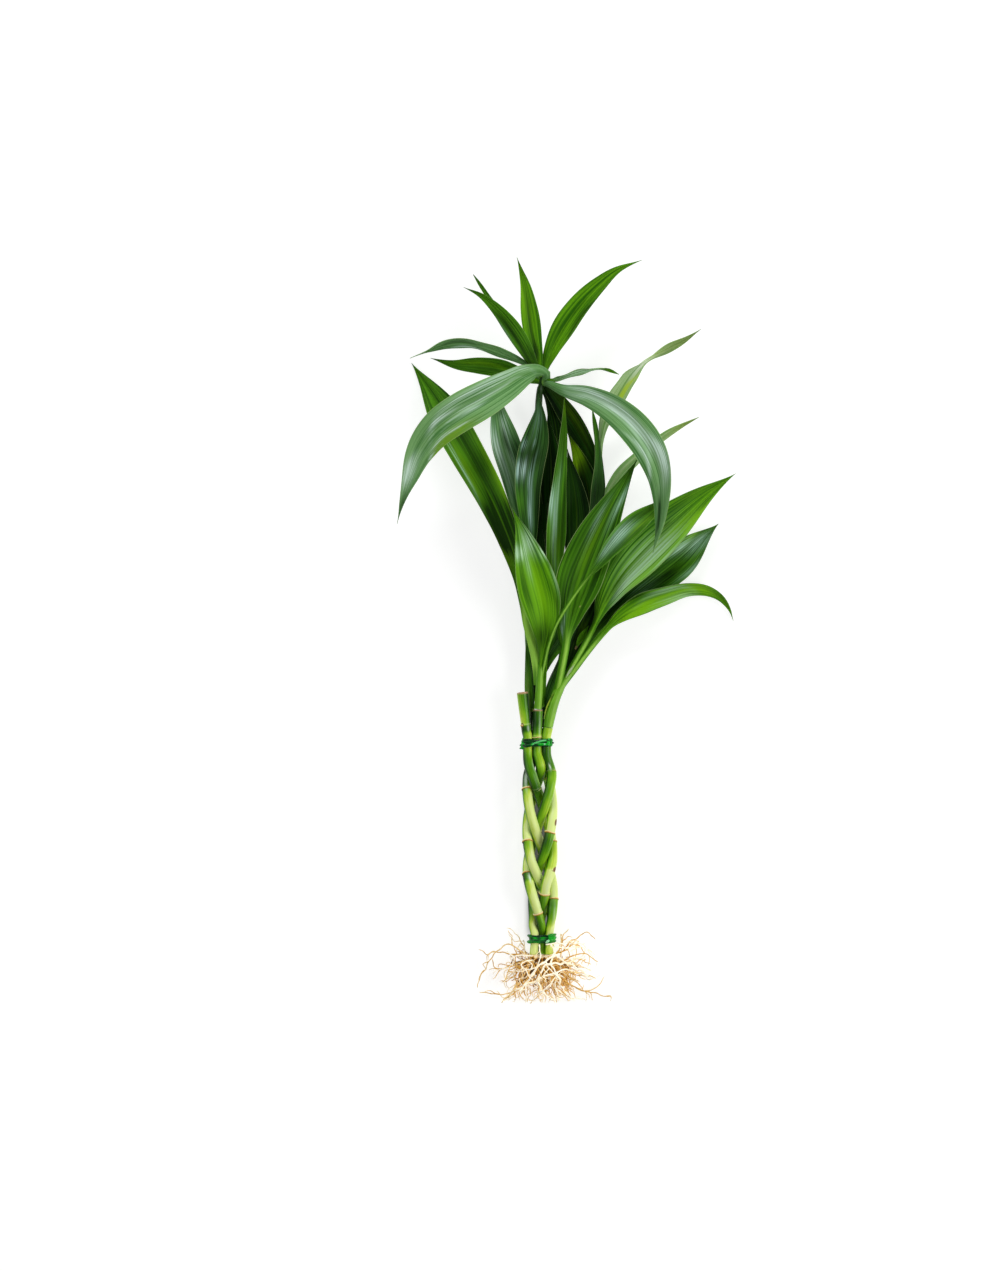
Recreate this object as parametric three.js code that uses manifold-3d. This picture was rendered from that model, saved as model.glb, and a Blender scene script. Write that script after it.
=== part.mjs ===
// Lucky bamboo: five rooted canes plaited together, held by two ties, lying on a table.
// x is across the plant, y runs from the roots to the leaves and z is the height above the table.
// The origin is the flat under the lower tie. Sizes are in millimetres and angles in degrees.
import * as THREE from 'three';
import Module from 'manifold-3d';
import { mergeVertices } from 'three/addons/utils/BufferGeometryUtils.js';

const wasm = await Module();
wasm.setup();

// Driving dimensions
const clearance = 0.3;
const caneRadius = 2.75;
const caneSides = 8;
const caneStep = 6.5;
const ringFlare = 0.22;
const braidTurn = 135;
const braidHalfWidth = 7.6;
const braidHalfDepth = 5.6;
const braidCentre = -0.7;
const tieWall = 0.9;
// corners are the canes on the outside of the tied bundle, clockwise from the right, counted from 0
const lowerTie = { hold: 'lower', y: 0, width: 5, x: 0.7, caneRadius: 2.45, corners: [4, 1, 0, 3] };
const upperTie = { hold: 'upper', y: 118, width: 4.2, x: -2.4, caneRadius: 2.65, corners: [2, 3, 4, 0] };
const upperBlend = [97, 113];
const plaitFrom = 47;
const footY = -9;
const sliver = 0.02;
const stemSides = 7;
const bladeThickness = 0.7;
const tipWidth = 0.8;
const rootCrownLength = 5;
const rootRadius = 0.75;
const rootTipRadius = 0.4;
const rootSides = 4;
const rootDraws = 5;

const materials = {
  cane: new THREE.MeshStandardMaterial({ color: 0x86a93a, roughness: 0.45, metalness: 0 }),
  leaf: new THREE.MeshStandardMaterial({ color: 0x2f6a22, roughness: 0.4, metalness: 0 }),
  root: new THREE.MeshStandardMaterial({ color: 0xdcc8a0, roughness: 0.7, metalness: 0 }),
  tie: new THREE.MeshStandardMaterial({ color: 0x0b8a35, roughness: 0.3, metalness: 0 }),
};

const group = new THREE.Group();

function addPiece(name, geometry, material) {
  const mesh = new THREE.Mesh(geometry, material);
  mesh.name = name;
  group.add(mesh);
}

// Joining and cutting closed meshes
function toSolid(geometry) {
  const bare = geometry.clone();
  bare.deleteAttribute('normal');
  bare.deleteAttribute('uv');
  const merged = mergeVertices(bare, 1e-4);
  return new wasm.Manifold(new wasm.Mesh({
    numProp: 3,
    vertProperties: Float32Array.from(merged.attributes.position.array),
    triVerts: Uint32Array.from(merged.index.array),
  }));
}

function toGeometry(solid) {
  const mesh = solid.getMesh();
  const geometry = new THREE.BufferGeometry();
  geometry.setAttribute('position', new THREE.BufferAttribute(mesh.vertProperties, 3));
  geometry.setIndex(new THREE.BufferAttribute(mesh.triVerts, 1));
  geometry.computeVertexNormals();
  return geometry;
}

// Joins solids into one body, without the slivers and loose scraps that the joining leaves
function join(solids) {
  const whole = solids.reduce((sum, solid) => sum.add(solid)).simplify(sliver);
  return whole.decompose().reduce((largest, body) => (body.volume() > largest.volume() ? body : largest));
}

// A tube skinned over rings of points that run around a path, closed by a flat cap at each end
function skinRings(rings) {
  const sides = rings[0].length;
  const positions = rings.flat().flatMap((point) => [point.x, point.y, point.z]);
  const index = [];
  for (let i = 0; i < rings.length - 1; i += 1) {
    for (let j = 0; j < sides; j += 1) {
      const a = i * sides + j;
      const b = i * sides + (j + 1) % sides;
      index.push(a, b, b + sides, a, b + sides, a + sides);
    }
  }
  const last = (rings.length - 1) * sides;
  for (let j = 1; j < sides - 1; j += 1) {
    index.push(0, j + 1, j);
    index.push(last, last + j, last + j + 1);
  }
  const geometry = new THREE.BufferGeometry();
  geometry.setAttribute('position', new THREE.Float32BufferAttribute(positions, 3));
  geometry.setIndex(index);
  return geometry;
}

// Round rings along points, each square to the path; the seam side follows the reference direction
function roundRings(points, radii, sides, reference) {
  return points.map((point, i) => {
    const before = points[Math.max(0, i - 1)];
    const after = points[Math.min(points.length - 1, i + 1)];
    const along = after.clone().sub(before).normalize();
    const across = reference.clone().addScaledVector(along, -reference.dot(along)).normalize();
    const up = across.clone().cross(along);
    return Array.from({ length: sides }, (_, j) => {
      const angle = 2 * Math.PI * (j + 0.5) / sides;
      return point.clone()
        .addScaledVector(across, radii[i] * Math.cos(angle))
        .addScaledVector(up, -radii[i] * Math.sin(angle));
    });
  });
}

const acrossPlant = new THREE.Vector3(1, 0, 0);

// The five canes: where each one turns at the left of the plait, its place in the two ties,
// its foot, how it runs from the lower tie into the plait, its rings and its end above the upper tie.
// A place in a tie is counted across and up from the middle, in canes lying side by side.
const row = Math.sqrt(3) / 4;
const canes = [
  {
    leftTurn: 118.8,
    upper: [-1, row],
    lower: [-2 * row, -0.5],
    foot: [-4, 3.65],
    start: [[-1.3, 8, 3], [0.6, 14, 4.5], [0.9, 20, 8.6], [1.9, 26, 12.6], [3, 33, 15.4], [5.2, 40, 15.6]],
    rings: [28, 58.5, 90.6, 129],
    top: [[-8.7, 125, 16.5], [-9.2, 130, 16.9], [-10.2, 139, 17.6], [-11.2, 148.5, 18.4]],
    topRadius: 3.1,
  },
  {
    leftTurn: 64.8,
    upper: [0, row],
    lower: [2 * row, -0.5],
    foot: [6, 3.7],
    start: [[5.8, 8, 3.5], [6.2, 14, 3.6], [4.4, 20, 3.6], [2, 26, 5.6], [0, 33, 9.9], [-2.9, 40, 14.4]],
    rings: [30, 59, 88, 121.5],
    top: [[-2.3, 125, 16.3], [-2.1, 130, 16.6], [-1.9, 138.2, 17]],
    topRadius: 2.7,
  },
  {
    leftTurn: 37.8,
    upper: [1, row],
    lower: [0, 0],
    foot: [0.7, 6.25],
    start: [[0.4, 8, 9.9], [-1.2, 14, 12], [-3, 20, 13.8], [-4.9, 26, 14.7], [-6.9, 33, 14.2],
      [-8.1, 40, 10.8]],
    rings: [16, 39.5, 66, 100.8],
    top: [[3.6, 124.5, 16.2], [4.2, 127.5, 16.4]],
    topRadius: 2.8,
  },
  {
    leftTurn: 10.8,
    upper: [0.5, -row],
    lower: [-2 * row, 0.5],
    foot: [-4.2, 9.3],
    start: [[-4.9, 8, 7.4], [-4.8, 14, 6.6], [-4.9, 20, 5.7], [-4.9, 26, 5], [-4.5, 33, 4.9],
      [-2.5, 40, 7.2]],
    rings: [35, 64.5, 98],
    top: [[0.9, 124.5, 11], [1.3, 127, 10.9]],
    topRadius: 2.5,
  },
  {
    leftTurn: 91.8,
    upper: [-0.5, -row],
    lower: [2 * row, 0.5],
    foot: [4.7, 9.7],
    start: [[5.5, 8, 9.6], [6.6, 14, 11], [7.1, 20, 10.8], [7.3, 26, 9.4], [6.9, 33, 7.9], [5.4, 40, 6.4]],
    rings: [24.3, 52, 90.3],
    top: [[-5.3, 123.5, 11], [-5.4, 126, 10.8]],
    topRadius: 2.5,
  },
];

function caneSpacing(tie) {
  return 2 * tie.caneRadius + clearance;
}

lowerTie.axis = tieWall + clearance + lowerTie.caneRadius + caneSpacing(lowerTie) / 2;
upperTie.axis = axisHeight(upperTie.y);

function placeInTie(tie, [across, up]) {
  return [tie.x + across * caneSpacing(tie), tie.axis + up * caneSpacing(tie)];
}

function axisHeight(y) {
  return lowerTie.axis + 3 * THREE.MathUtils.smoothstep(y, 0, 25) + 0.04 * Math.max(0, y);
}

// Seen from the end, each cane of the plait follows a figure of eight
function placeInBraid(cane, y) {
  const angle = -Math.PI / 2 + 2 * Math.PI * (cane.leftTurn - y) / braidTurn;
  return [
    braidCentre + braidHalfWidth * Math.sin(angle),
    axisHeight(y) - braidHalfDepth * Math.sin(2 * angle),
  ];
}

function canePlace(cane, y) {
  const free = placeInBraid(cane, y);
  const held = placeInTie(upperTie, cane.upper);
  const hold = THREE.MathUtils.smoothstep(y, upperBlend[0], upperBlend[1]);
  return new THREE.Vector3(
    THREE.MathUtils.lerp(free[0], held[0], hold),
    y,
    THREE.MathUtils.lerp(free[1], held[1], hold),
  );
}

function canePath(cane) {
  const points = [footY, footY + 1.5].map((y) => new THREE.Vector3(cane.foot[0], y, cane.foot[1]));
  const [tieX, tieZ] = placeInTie(lowerTie, cane.lower);
  [-0.5, 0.1, 0.7].forEach((share) => points.push(new THREE.Vector3(tieX, share * lowerTie.width, tieZ)));
  cane.start.forEach((point) => points.push(new THREE.Vector3(...point)));
  for (let y = plaitFrom; y <= upperTie.y + upperTie.width; y += 1.5) {
    points.push(canePlace(cane, y));
  }
  cane.top.forEach((point) => points.push(new THREE.Vector3(...point)));
  return new THREE.CatmullRomCurve3(points);
}

function caneRadiusAt(cane, y) {
  const { lerp, smoothstep } = THREE.MathUtils;
  const lower = lerp(lowerTie.caneRadius, caneRadius, smoothstep(y, 4, 30));
  const upper = lerp(lower, upperTie.caneRadius, smoothstep(y, 95, 112));
  return lerp(upper, cane.topRadius, smoothstep(y, upperTie.y + 4, cane.top.at(-1)[1]));
}

// Heights along y where the skin has a ring of points: even steps, and a lip at each cane ring
function caneStations(cane, topY) {
  const stations = [{ y: footY, flare: 0 }];
  for (let y = footY + 1.5; y < topY - caneStep / 2; y += caneStep) {
    if (cane.rings.every((ring) => Math.abs(ring - y) > 2.6)) {
      stations.push({ y, flare: 0 });
    }
  }
  cane.rings.forEach((ring) => {
    stations.push({ y: ring - 1.8, flare: 0 }, { y: ring, flare: ringFlare }, { y: ring + 0.7, flare: 0 });
  });
  stations.push({ y: topY, flare: 0 });
  return stations.sort((a, b) => a.y - b.y);
}

function pointAtY(samples, y) {
  const i = Math.max(1, samples.findIndex((point) => point.y >= y));
  const [low, high] = [samples[i - 1], samples[i]];
  return low.clone().lerp(high, (y - low.y) / (high.y - low.y));
}

function caneGeometry(cane, extra = 0) {
  const samples = canePath(cane).getPoints(600);
  const topY = cane.top.at(-1)[1];
  const stations = caneStations(cane, topY);
  const points = stations.map(({ y }) => (y === topY ? samples.at(-1) : pointAtY(samples, y)));
  const radii = stations.map(({ y, flare }) => caneRadiusAt(cane, y) + flare + extra);
  return skinRings(roundRings(points, radii, caneSides, acrossPlant));
}

canes.forEach((cane, i) => addPiece(`cane_${i + 1}`, caneGeometry(cane), materials.cane));

// The ties: a closed band round the five canes, with the knot of the twisted ribbon at the side.
// The outline goes clockwise round the corner canes, with an arc on each.
function tieOutline(tie, offset) {
  const corners = tie.corners.map((i) => placeInTie(tie, canes[i][tie.hold]));
  const normals = corners.map(([x, z], i) => {
    const [nextX, nextZ] = corners[(i + 1) % corners.length];
    return Math.atan2(nextZ - z, nextX - x) + Math.PI / 2;
  });
  const outline = new THREE.Path();
  corners.forEach(([x, z], i) => {
    const from = normals[(i + corners.length - 1) % corners.length];
    outline.absarc(x, z, tie.caneRadius + offset, from, normals[i], true);
  });
  outline.closePath();
  return outline;
}

function tieGeometry(tie, knots) {
  const arcPoints = 4;
  const band = new THREE.Shape(tieOutline(tie, clearance + tieWall).getPoints(arcPoints));
  const hole = new THREE.Shape(tieOutline(tie, clearance).getPoints(arcPoints));
  const extrude = (shape, depth) => {
    const geometry = new THREE.ExtrudeGeometry(shape, { depth, bevelEnabled: false });
    geometry.rotateX(Math.PI / 2);
    geometry.translate(0, tie.y + depth / 2, 0);
    return toSolid(geometry);
  };
  const lumps = knots.map(({ at, size, turn }) => {
    const knot = new THREE.SphereGeometry(1, 7, 5);
    knot.scale(...size);
    knot.rotateZ(THREE.MathUtils.degToRad(turn));
    knot.translate(...at);
    return toSolid(knot);
  });
  return toGeometry(join([extrude(band, tie.width), ...lumps]).subtract(extrude(hole, 3 * tie.width)));
}

addPiece('tie_lower', tieGeometry(lowerTie, [
  { at: [7.9, 0.7, 9.4], size: [1.6, 3, 1.8], turn: 0 },
]), materials.tie);
addPiece('tie_upper', tieGeometry(upperTie, [
  { at: [-11.6, 117.2, 15.6], size: [1.5, 3, 1.6], turn: -14 },
  { at: [6.2, 118.6, 16.4], size: [1.5, 2.7, 2], turn: 8 },
]), materials.tie);

// Roots: each cane ends in a brown root crown, and its tuft of wiry roots grows out of that.
// The long roots that show are routed by hand, and shorter ones are drawn between them.
const longRoots = [
  [
    [[-4, -12, 3.6], [-10, -16, 4], [-18, -16, 5], [-24, -18, 4], [-28, -17, 3], [-29, -12, 3]],
    [[-4, -12.5, 3.4], [-8, -24, 3], [-14, -31, 2.4], [-22, -33, 1.6], [-37, -32.6, 1.3]],
    [[-4, -12, 3.4], [-9.4, -7.6, 3], [-11.6, -2.6, 3.6], [-13, 1, 5], [-15.4, 3.4, 6]],
  ],
  [
    [[6, -12, 3.6], [10, -20, 3.5], [16, -26, 3], [22, -30, 2.4], [30, -31, 1.8], [36, -27, 1.6],
      [38.4, -22.6, 1.6]],
    [[6, -13, 3.4], [6.6, -25, 2.6], [9, -34, 2], [9.4, -38.6, 1.4]],
    [[6, -12, 3.5], [13, -12.6, 3.4], [20, -14, 3], [26, -13, 2.6], [30, -16, 2.4]],
  ],
  [
    [[0.7, -12, 7], [0, -14.4, 14.4], [-3.5, -17, 17.5], [-2, -21.5, 19], [-8, -25.5, 20.5],
      [-14, -27, 18.5]],
    [[0.7, -13, 6.6], [0.2, -21.5, 14.6], [0.6, -31.5, 14], [-3, -35, 10], [-7, -39, 5]],
    [[0.7, -12, 6.6], [1.6, -14.6, 15], [5, -19, 20], [8, -25, 19], [12, -31, 14], [19, -36, 7]],
    [[0.7, -12.5, 6.4], [2, -20, 11], [3, -29, 11], [8, -36, 6]],
  ],
  [
    [[-4.2, -11.6, 9.3], [-10, -9, 11], [-17, -9, 11], [-24, -7.6, 10], [-28, -7.4, 9], [-33, -9, 8],
      [-37, -5.6, 7]],
    [[-4.2, -12, 9.3], [-8, -15, 14], [-7.5, -20, 16.5], [-9.5, -26, 17], [-16, -30.5, 15],
      [-20, -34.5, 10],
      [-24, -38.4, 5]],
    [[-4.2, -13, 9.3], [-11, -19, 12], [-10.5, -27, 12], [-9.4, -33, 10], [-8, -38, 7.5]],
    [[-4.2, -11.6, 9.3], [-11.6, -7.6, 9.4], [-19, -2.8, 9], [-25, -6, 7.4], [-30, -11.5, 6], [-33, -17, 5],
      [-37, -24, 3.5], [-38.2, -29.5, 2]],
  ],
  [
    [[4.7, -11.6, 9.7], [13.4, -7, 12.4], [20, -3, 12], [24, -4.5, 11], [26.6, -9, 10]],
    [[4.7, -11.8, 9.9], [13.4, -12.4, 14.2], [20, -9.4, 14], [28, -8.6, 12], [31, -11.5, 10],
      [34.5, -13.6, 9]],
    [[4.7, -12.4, 9.5], [11.6, -17.4, 12], [19, -20, 12], [27, -20.5, 10], [33, -24, 8]],
    [[4.7, -13, 9.3], [11.8, -23, 10.6], [20, -28.5, 10], [28, -31.6, 7], [34, -33, 5], [43, -35.2, 2.4]],
    [[4.7, -11.8, 9.6], [11.4, -6, 9], [13.8, 3, 10.6], [16.6, 6.6, 12]],
    [[4.7, -12.2, 9], [13, -7, 6.2], [17, -2, 7], [23, 1, 7.5], [26, 4.2, 8], [29.6, 3.4, 8],
      [32.6, -0.4, 7.5]],
  ],
];

let seed = 7;
function random() {
  seed = (seed * 1664525 + 1013904223) % 4294967296;
  return seed / 4294967296;
}

function between(low, high) {
  return low + (high - low) * random();
}

function footPoint(cane, depth) {
  return new THREE.Vector3(cane.foot[0], footY - clearance - depth, cane.foot[1]);
}

// A short root: it leaves its crown away from the middle of the bundle and wanders downwards
function drawRoot(cane) {
  const start = footPoint(cane, between(1, rootCrownLength - 1));
  const away = Math.atan2(cane.foot[1] - lowerTie.axis, cane.foot[0] - lowerTie.x);
  const angle = away + between(-1, 1);
  const heading = new THREE.Vector3(Math.cos(angle), -between(0.2, 1.6), 0.8 * Math.sin(angle)).normalize();
  const points = [start];
  for (let i = 0; i < 5; i += 1) {
    const next = points.at(-1).clone().addScaledVector(heading, between(3.5, 6.5));
    next.z = Math.max(next.z, rootRadius + clearance);
    points.push(next);
    heading.add(new THREE.Vector3(between(-0.6, 0.6), between(-0.7, 0.3), between(-0.6, 0.4))).normalize();
  }
  return points;
}

function densePoints(points) {
  return new THREE.CatmullRomCurve3(points).getSpacedPoints(points.length * 6);
}

const crownDepths = [0, 0.3, 0.6, 1].map((share) => share * rootCrownLength);
const minimumGap = 2 * rootRadius + clearance + 0.5;
function staysClear(root, others, gap) {
  return root.every((point) => others.every((other) => point.distanceTo(other) > gap));
}

const caneFeet = canes.map((cane) => canePath(cane).getPoints(120).filter((point) => point.y < 20));
const routes = longRoots.map((tuft) => tuft.map((root) => root.map((point) => new THREE.Vector3(...point))));
canes.forEach((cane, i) => {
  const others = routes.flatMap((tuft, k) => (k === i ? [] : tuft.flatMap(densePoints)));
  const otherCanes = canes.filter((_, k) => k !== i);
  const crowns = otherCanes.flatMap((other) => crownDepths.map((depth) => footPoint(other, depth)));
  const feet = caneFeet.flat();
  let drawn = 0;
  for (let tries = 0; drawn < rootDraws && tries < 200; tries += 1) {
    const root = drawRoot(cane);
    const dense = densePoints(root);
    const outer = dense.filter((point) => point.distanceTo(root[0]) > 3.4);
    const free = staysClear(dense, others, minimumGap)
      && staysClear(dense, crowns, lowerTie.caneRadius + rootRadius + clearance)
      && staysClear(outer, feet, lowerTie.caneRadius + tieWall + rootRadius + 2 * clearance);
    if (free) {
      routes[i].push(root);
      drawn += 1;
    }
  }
});

function rootSolid(points) {
  const count = Math.max(4, Math.round(new THREE.CatmullRomCurve3(points).getLength() / 6));
  const path = new THREE.CatmullRomCurve3(points).getSpacedPoints(count);
  const radii = path.map((_, i) => THREE.MathUtils.lerp(rootRadius, rootTipRadius, i / count));
  const chord = path.at(-1).clone().sub(path[0]).normalize();
  const reference = new THREE.Vector3(-chord.y, chord.x, 2).normalize();
  return toSolid(skinRings(roundRings(path, radii, rootSides, reference)));
}

function rootCrown(cane) {
  const depths = [0, 0.4 * rootCrownLength, 0.8 * rootCrownLength, rootCrownLength];
  const radii = [0.96, 1, 0.8, 0.45].map((share) => share * lowerTie.caneRadius);
  const points = depths.map((depth) => footPoint(cane, depth));
  return toSolid(skinRings(roundRings(points.reverse(), radii.reverse(), caneSides, acrossPlant)));
}

canes.forEach((cane, i) => {
  const roots = routes[i].map(rootSolid);
  addPiece(`roots_${i + 1}`, toGeometry(join([rootCrown(cane), ...roots])), materials.root);
});

// Leaves: a folded channel at the foot that opens into a long pointed blade.
// points run along the midrib; wide and neck are widths of blade and stalk; blade gives the shares
// of the length where the stalk ends and where the blade is widest; turn rolls it round its midrib.
function leafWidth(leaf, t) {
  const [start, widest] = leaf.blade;
  if (t <= widest) {
    const opening = Math.max(0, (t - start) / (widest - start));
    return leaf.neck + (leaf.wide - leaf.neck) * Math.sin(opening * Math.PI / 2) ** 1.4;
  }
  const closing = (t - widest) / (1 - widest);
  return tipWidth + (leaf.wide - tipWidth) * Math.cos(closing * Math.PI / 2) ** 1.35;
}

function valueAlong(values, t) {
  const place = t * (values.length - 1);
  const i = Math.min(values.length - 2, Math.floor(place));
  return THREE.MathUtils.lerp(values[i], values[i + 1], THREE.MathUtils.smoothstep(place - i, 0, 1));
}

const stalkFold = -30;
const narrowBlade = 12;
const upwards = new THREE.Vector3(0, 0, 1);

function leafSolid(leaf) {
  const { turn = [0, 0], fold = 14, wave = 0.7 } = leaf;
  const acrossShares = leaf.wide < narrowBlade ? [-1, 0, 1] : [-1, -0.5, 0, 0.5, 1];
  const curve = new THREE.CatmullRomCurve3(leaf.points.map((point) => new THREE.Vector3(...point)));
  const count = Math.max(6, Math.round(curve.getLength() / 14) + 2);
  const [start, widest] = leaf.blade;
  const faces = [[], []];
  for (let i = 0; i <= count; i += 1) {
    const t = i / count;
    const centre = curve.getPointAt(t);
    const along = curve.getTangentAt(t);
    const up = upwards.clone().addScaledVector(along, -upwards.dot(along)).normalize();
    up.applyAxisAngle(along, THREE.MathUtils.degToRad(valueAlong(turn, t)));
    const side = along.clone().cross(up);
    const open = THREE.MathUtils.smoothstep(t, start, 0.5 * (start + widest));
    const angle = THREE.MathUtils.degToRad(THREE.MathUtils.lerp(stalkFold, fold, open));
    const half = leafWidth(leaf, t) / 2;
    acrossShares.forEach((share) => {
      const ripple = wave * share * Math.abs(share) * Math.sin(5 * Math.PI * t) * open;
      const point = centre.clone()
        .addScaledVector(side, half * share * Math.cos(angle))
        .addScaledVector(up, half * Math.abs(share) * Math.sin(angle) + ripple);
      faces[0].push(point.clone().addScaledVector(up, bladeThickness / 2));
      faces[1].push(point.clone().addScaledVector(up, -bladeThickness / 2));
    });
  }
  return toSolid(closeBlade(faces, count + 1, acrossShares.length));
}

// Both faces of a blade are split along the same diagonals, and a rim closes its outline
function closeBlade(faces, rows, columns) {
  const positions = faces.flat().flatMap((point) => [point.x, point.y, point.z]);
  const below = rows * columns;
  const index = [];
  const quad = (a, b, c, d) => index.push(a, b, c, a, c, d);
  for (let i = 0; i < rows - 1; i += 1) {
    for (let j = 0; j < columns - 1; j += 1) {
      const a = i * columns + j;
      const [b, c, d] = [a + 1, a + columns + 1, a + columns];
      quad(a, b, c, d);
      index.push(a + below, c + below, b + below, a + below, d + below, c + below);
    }
    const left = i * columns;
    const right = left + columns - 1;
    quad(left, left + columns, left + columns + below, left + below);
    quad(right, right + below, right + columns + below, right + columns);
  }
  const last = (rows - 1) * columns;
  for (let j = 0; j < columns - 1; j += 1) {
    quad(j, j + below, j + 1 + below, j + 1);
    quad(last + j, last + j + 1, last + j + 1 + below, last + j + below);
  }
  const geometry = new THREE.BufferGeometry();
  geometry.setAttribute('position', new THREE.Float32BufferAttribute(positions, 3));
  geometry.setIndex(index);
  return geometry;
}

// Leafy shoots: a soft stem of wrapped sheaths, given as x, y, z and radius, and its leaves
const shoots = [
  {
    stem: [[-8.8, 129.5, 15.8, 1.6], [-7.8, 134.5, 13.2, 1.7], [-7.7, 142, 12.8, 1.7],
      [-8.2, 152, 12.6, 1.6],
      [-8.1, 164, 12.3, 1.5], [-7.9, 177, 12, 1.4], [-7.8, 188, 11.6, 1.1]],
    leaves: [
      {
        points: [[-7.9, 176, 12], [-8, 192, 13], [-7.2, 215, 14.6], [-6.4, 238, 16.4], [-7.6, 258, 18],
          [-8, 273, 19.4], [-6, 289, 21], [-2.6, 303, 22.6], [-1, 316, 23], [-1.8, 328, 22.6]],
        wide: 18, neck: 3, blade: [0.28, 0.76], turn: [0, 10, 6, -6],
      },
      {
        points: [[-7.9, 172, 12], [-8.8, 190, 10.4], [-9.2, 208, 9.4], [-8.8, 226, 9], [-9, 243, 9],
          [-12, 262, 9], [-16.6, 282, 9], [-22, 300, 8.6], [-25.6, 317, 8], [-27.5, 334, 7]],
        wide: 19, neck: 3, blade: [0.3, 0.74], turn: [0, 0, 10, 12],
      },
    ],
  },
  {
    stem: [[-1.9, 138.6, 17, 2.4], [-1.3, 146, 17.4, 2.35], [-0.9, 154, 18, 2.25], [-0.5, 162, 19, 2],
      [-0.1, 168, 20.2, 1.5]],
    leaves: [
      {
        points: [[-0.6, 160, 19.5], [0.4, 171, 23], [1.8, 184, 27.5], [1, 199, 32], [-2, 214, 37],
          [-5.4, 229, 42], [-9.4, 243, 46], [-15.8, 256.5, 49]],
        wide: 25, neck: 3.4, blade: [0.08, 0.5], turn: [0, 6, 4, -14],
      },
      {
        points: [[-1.5, 153, 18.4], [-2.4, 164, 19.6], [-4.8, 177, 20.6], [-8, 190, 21.6],
          [-9.8, 202, 22.6],
          [-12.6, 219, 24.6], [-20, 242, 27], [-30.5, 266, 26], [-43, 289, 20.6], [-55.4, 311, 12],
          [-66.5, 330, 4.4], [-78, 347, 0.5]],
        wide: 22.5, neck: 5, blade: [0.2, 0.7], turn: [0, 6, 8, 0],
      },
      {
        points: [[0.2, 157, 18.6], [2, 166, 22], [4.6, 177, 26], [8.8, 188.6, 30], [15.4, 200, 33.5],
          [24.4, 213, 36], [33, 223.6, 37.5], [44, 237.5, 38.5], [55, 249, 38], [66, 257.6, 36.4],
          [77, 266, 34]],
        wide: 13.5, neck: 2.4, blade: [0.5, 0.78], turn: [0, 0, 8],
      },
    ],
  },
  {
    stem: [[4.35, 127.8, 16.4, 2.8], [5.7, 135, 16.9, 3.1], [7.9, 143, 17.4, 3.1], [10.8, 150, 18, 2.9],
      [14, 155.6, 18.2, 2.4], [17.4, 160, 18.3, 1.8]],
    leaves: [
      {
        points: [[8.8, 146, 18], [10.4, 153, 20.6], [12.6, 164, 23.4], [14.8, 176, 25.4], [16.2, 189, 27],
          [18.8, 203, 28.4], [23.4, 218, 29.4], [30.6, 236, 30], [39, 254, 29.4], [48, 271, 27],
          [58, 289, 23]],
        wide: 29, neck: 4.4, blade: [0.22, 0.5], turn: [0, 0, -4, 10],
      },
      {
        points: [[10.5, 149, 17.8], [14, 154.4, 18.2], [19.8, 162, 18.4], [27.6, 172.4, 18.2],
          [37.6, 184.4, 17.8],
          [48, 194.6, 17.6], [60, 202, 18.2], [74, 207, 18.6], [88, 210.6, 16.6], [99, 210, 12.4],
          [108, 205.6, 7.2], [113.3, 199, 3.4], [116, 191.6, 0.5]],
        wide: 13.5, neck: 3.8, blade: [0.36, 0.62], turn: [0, 10, 30, 20],
      },
      {
        points: [[11, 149.5, 16.6], [16, 159.5, 14.6], [23, 171, 13.2], [30.6, 182.6, 12.2],
          [41, 194, 11.6],
          [54, 206, 11.4], [68, 217, 10.6], [84, 229.5, 9], [96, 240.5, 7], [107, 250, 4.8]],
        wide: 22, neck: 3.4, blade: [0.16, 0.62], turn: [0, 0, 6, 0],
      },
      {
        points: [[11.5, 152, 15.8], [15.4, 165, 15.4], [19.6, 178, 15], [24.6, 190, 14.8],
          [30.6, 202, 14.8],
          [37, 213, 15], [43.6, 223, 15.4]],
        wide: 12, neck: 3.6, blade: [0.1, 0.5], turn: [0, 0, 0],
      },
      {
        points: [[11, 150, 18.4], [15.6, 159, 19.4], [21.6, 169.2, 19.8], [28.2, 181, 20.2],
          [33.6, 192.4, 20.6],
          [38, 203.4, 21.2], [47.4, 219.4, 22.4], [61.6, 235.6, 23.4], [78, 250.4, 23], [97, 266.4, 20],
          [117, 280, 15.5]],
        wide: 30, neck: 3.2, blade: [0.26, 0.58], turn: [0, 0, 2, 0], fold: 16,
      },
    ],
  },
  {
    stem: [[1.35, 127.4, 10.9, 2.2], [2.4, 140, 10.4, 2.9], [4.9, 152, 10.2, 3.2], [10, 163, 10.4, 2.4],
      [15, 174, 11, 1.8], [19, 188, 11.2, 1.6], [22, 205, 11.6, 1.4], [24, 222, 12, 1.1]],
    leaves: [
      {
        points: [[8.4, 158, 11], [9.2, 172, 13.6], [9, 190, 16], [8.3, 208, 18.4], [8, 226, 20.4],
          [8.6, 244, 21.2], [9.2, 260, 21.4], [10.4, 275, 21], [12, 290, 20.4], [13.4, 307, 20.2],
          [14, 325, 20.4]],
        wide: 13, neck: 3.6, blade: [0.2, 0.58], turn: [0, 10, 34, 45],
      },
      {
        points: [[20, 196, 11.8], [20.5, 212, 14], [21, 228, 15.6], [21.3, 243, 16], [21.3, 256, 16],
          [20.2, 269, 15.8], [18, 282, 15.2], [15.8, 295, 14.6]],
        wide: 17, neck: 4, blade: [0.1, 0.56], turn: [0, 8, 6],
      },
      {
        points: [[22.2, 208, 11.8], [25.5, 224, 12.2], [28.3, 240, 12], [29, 254, 11.8],
          [27, 268, 11.6],
          [23, 281, 11.8], [18.4, 294, 12.8], [13.6, 305.6, 14]],
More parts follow.
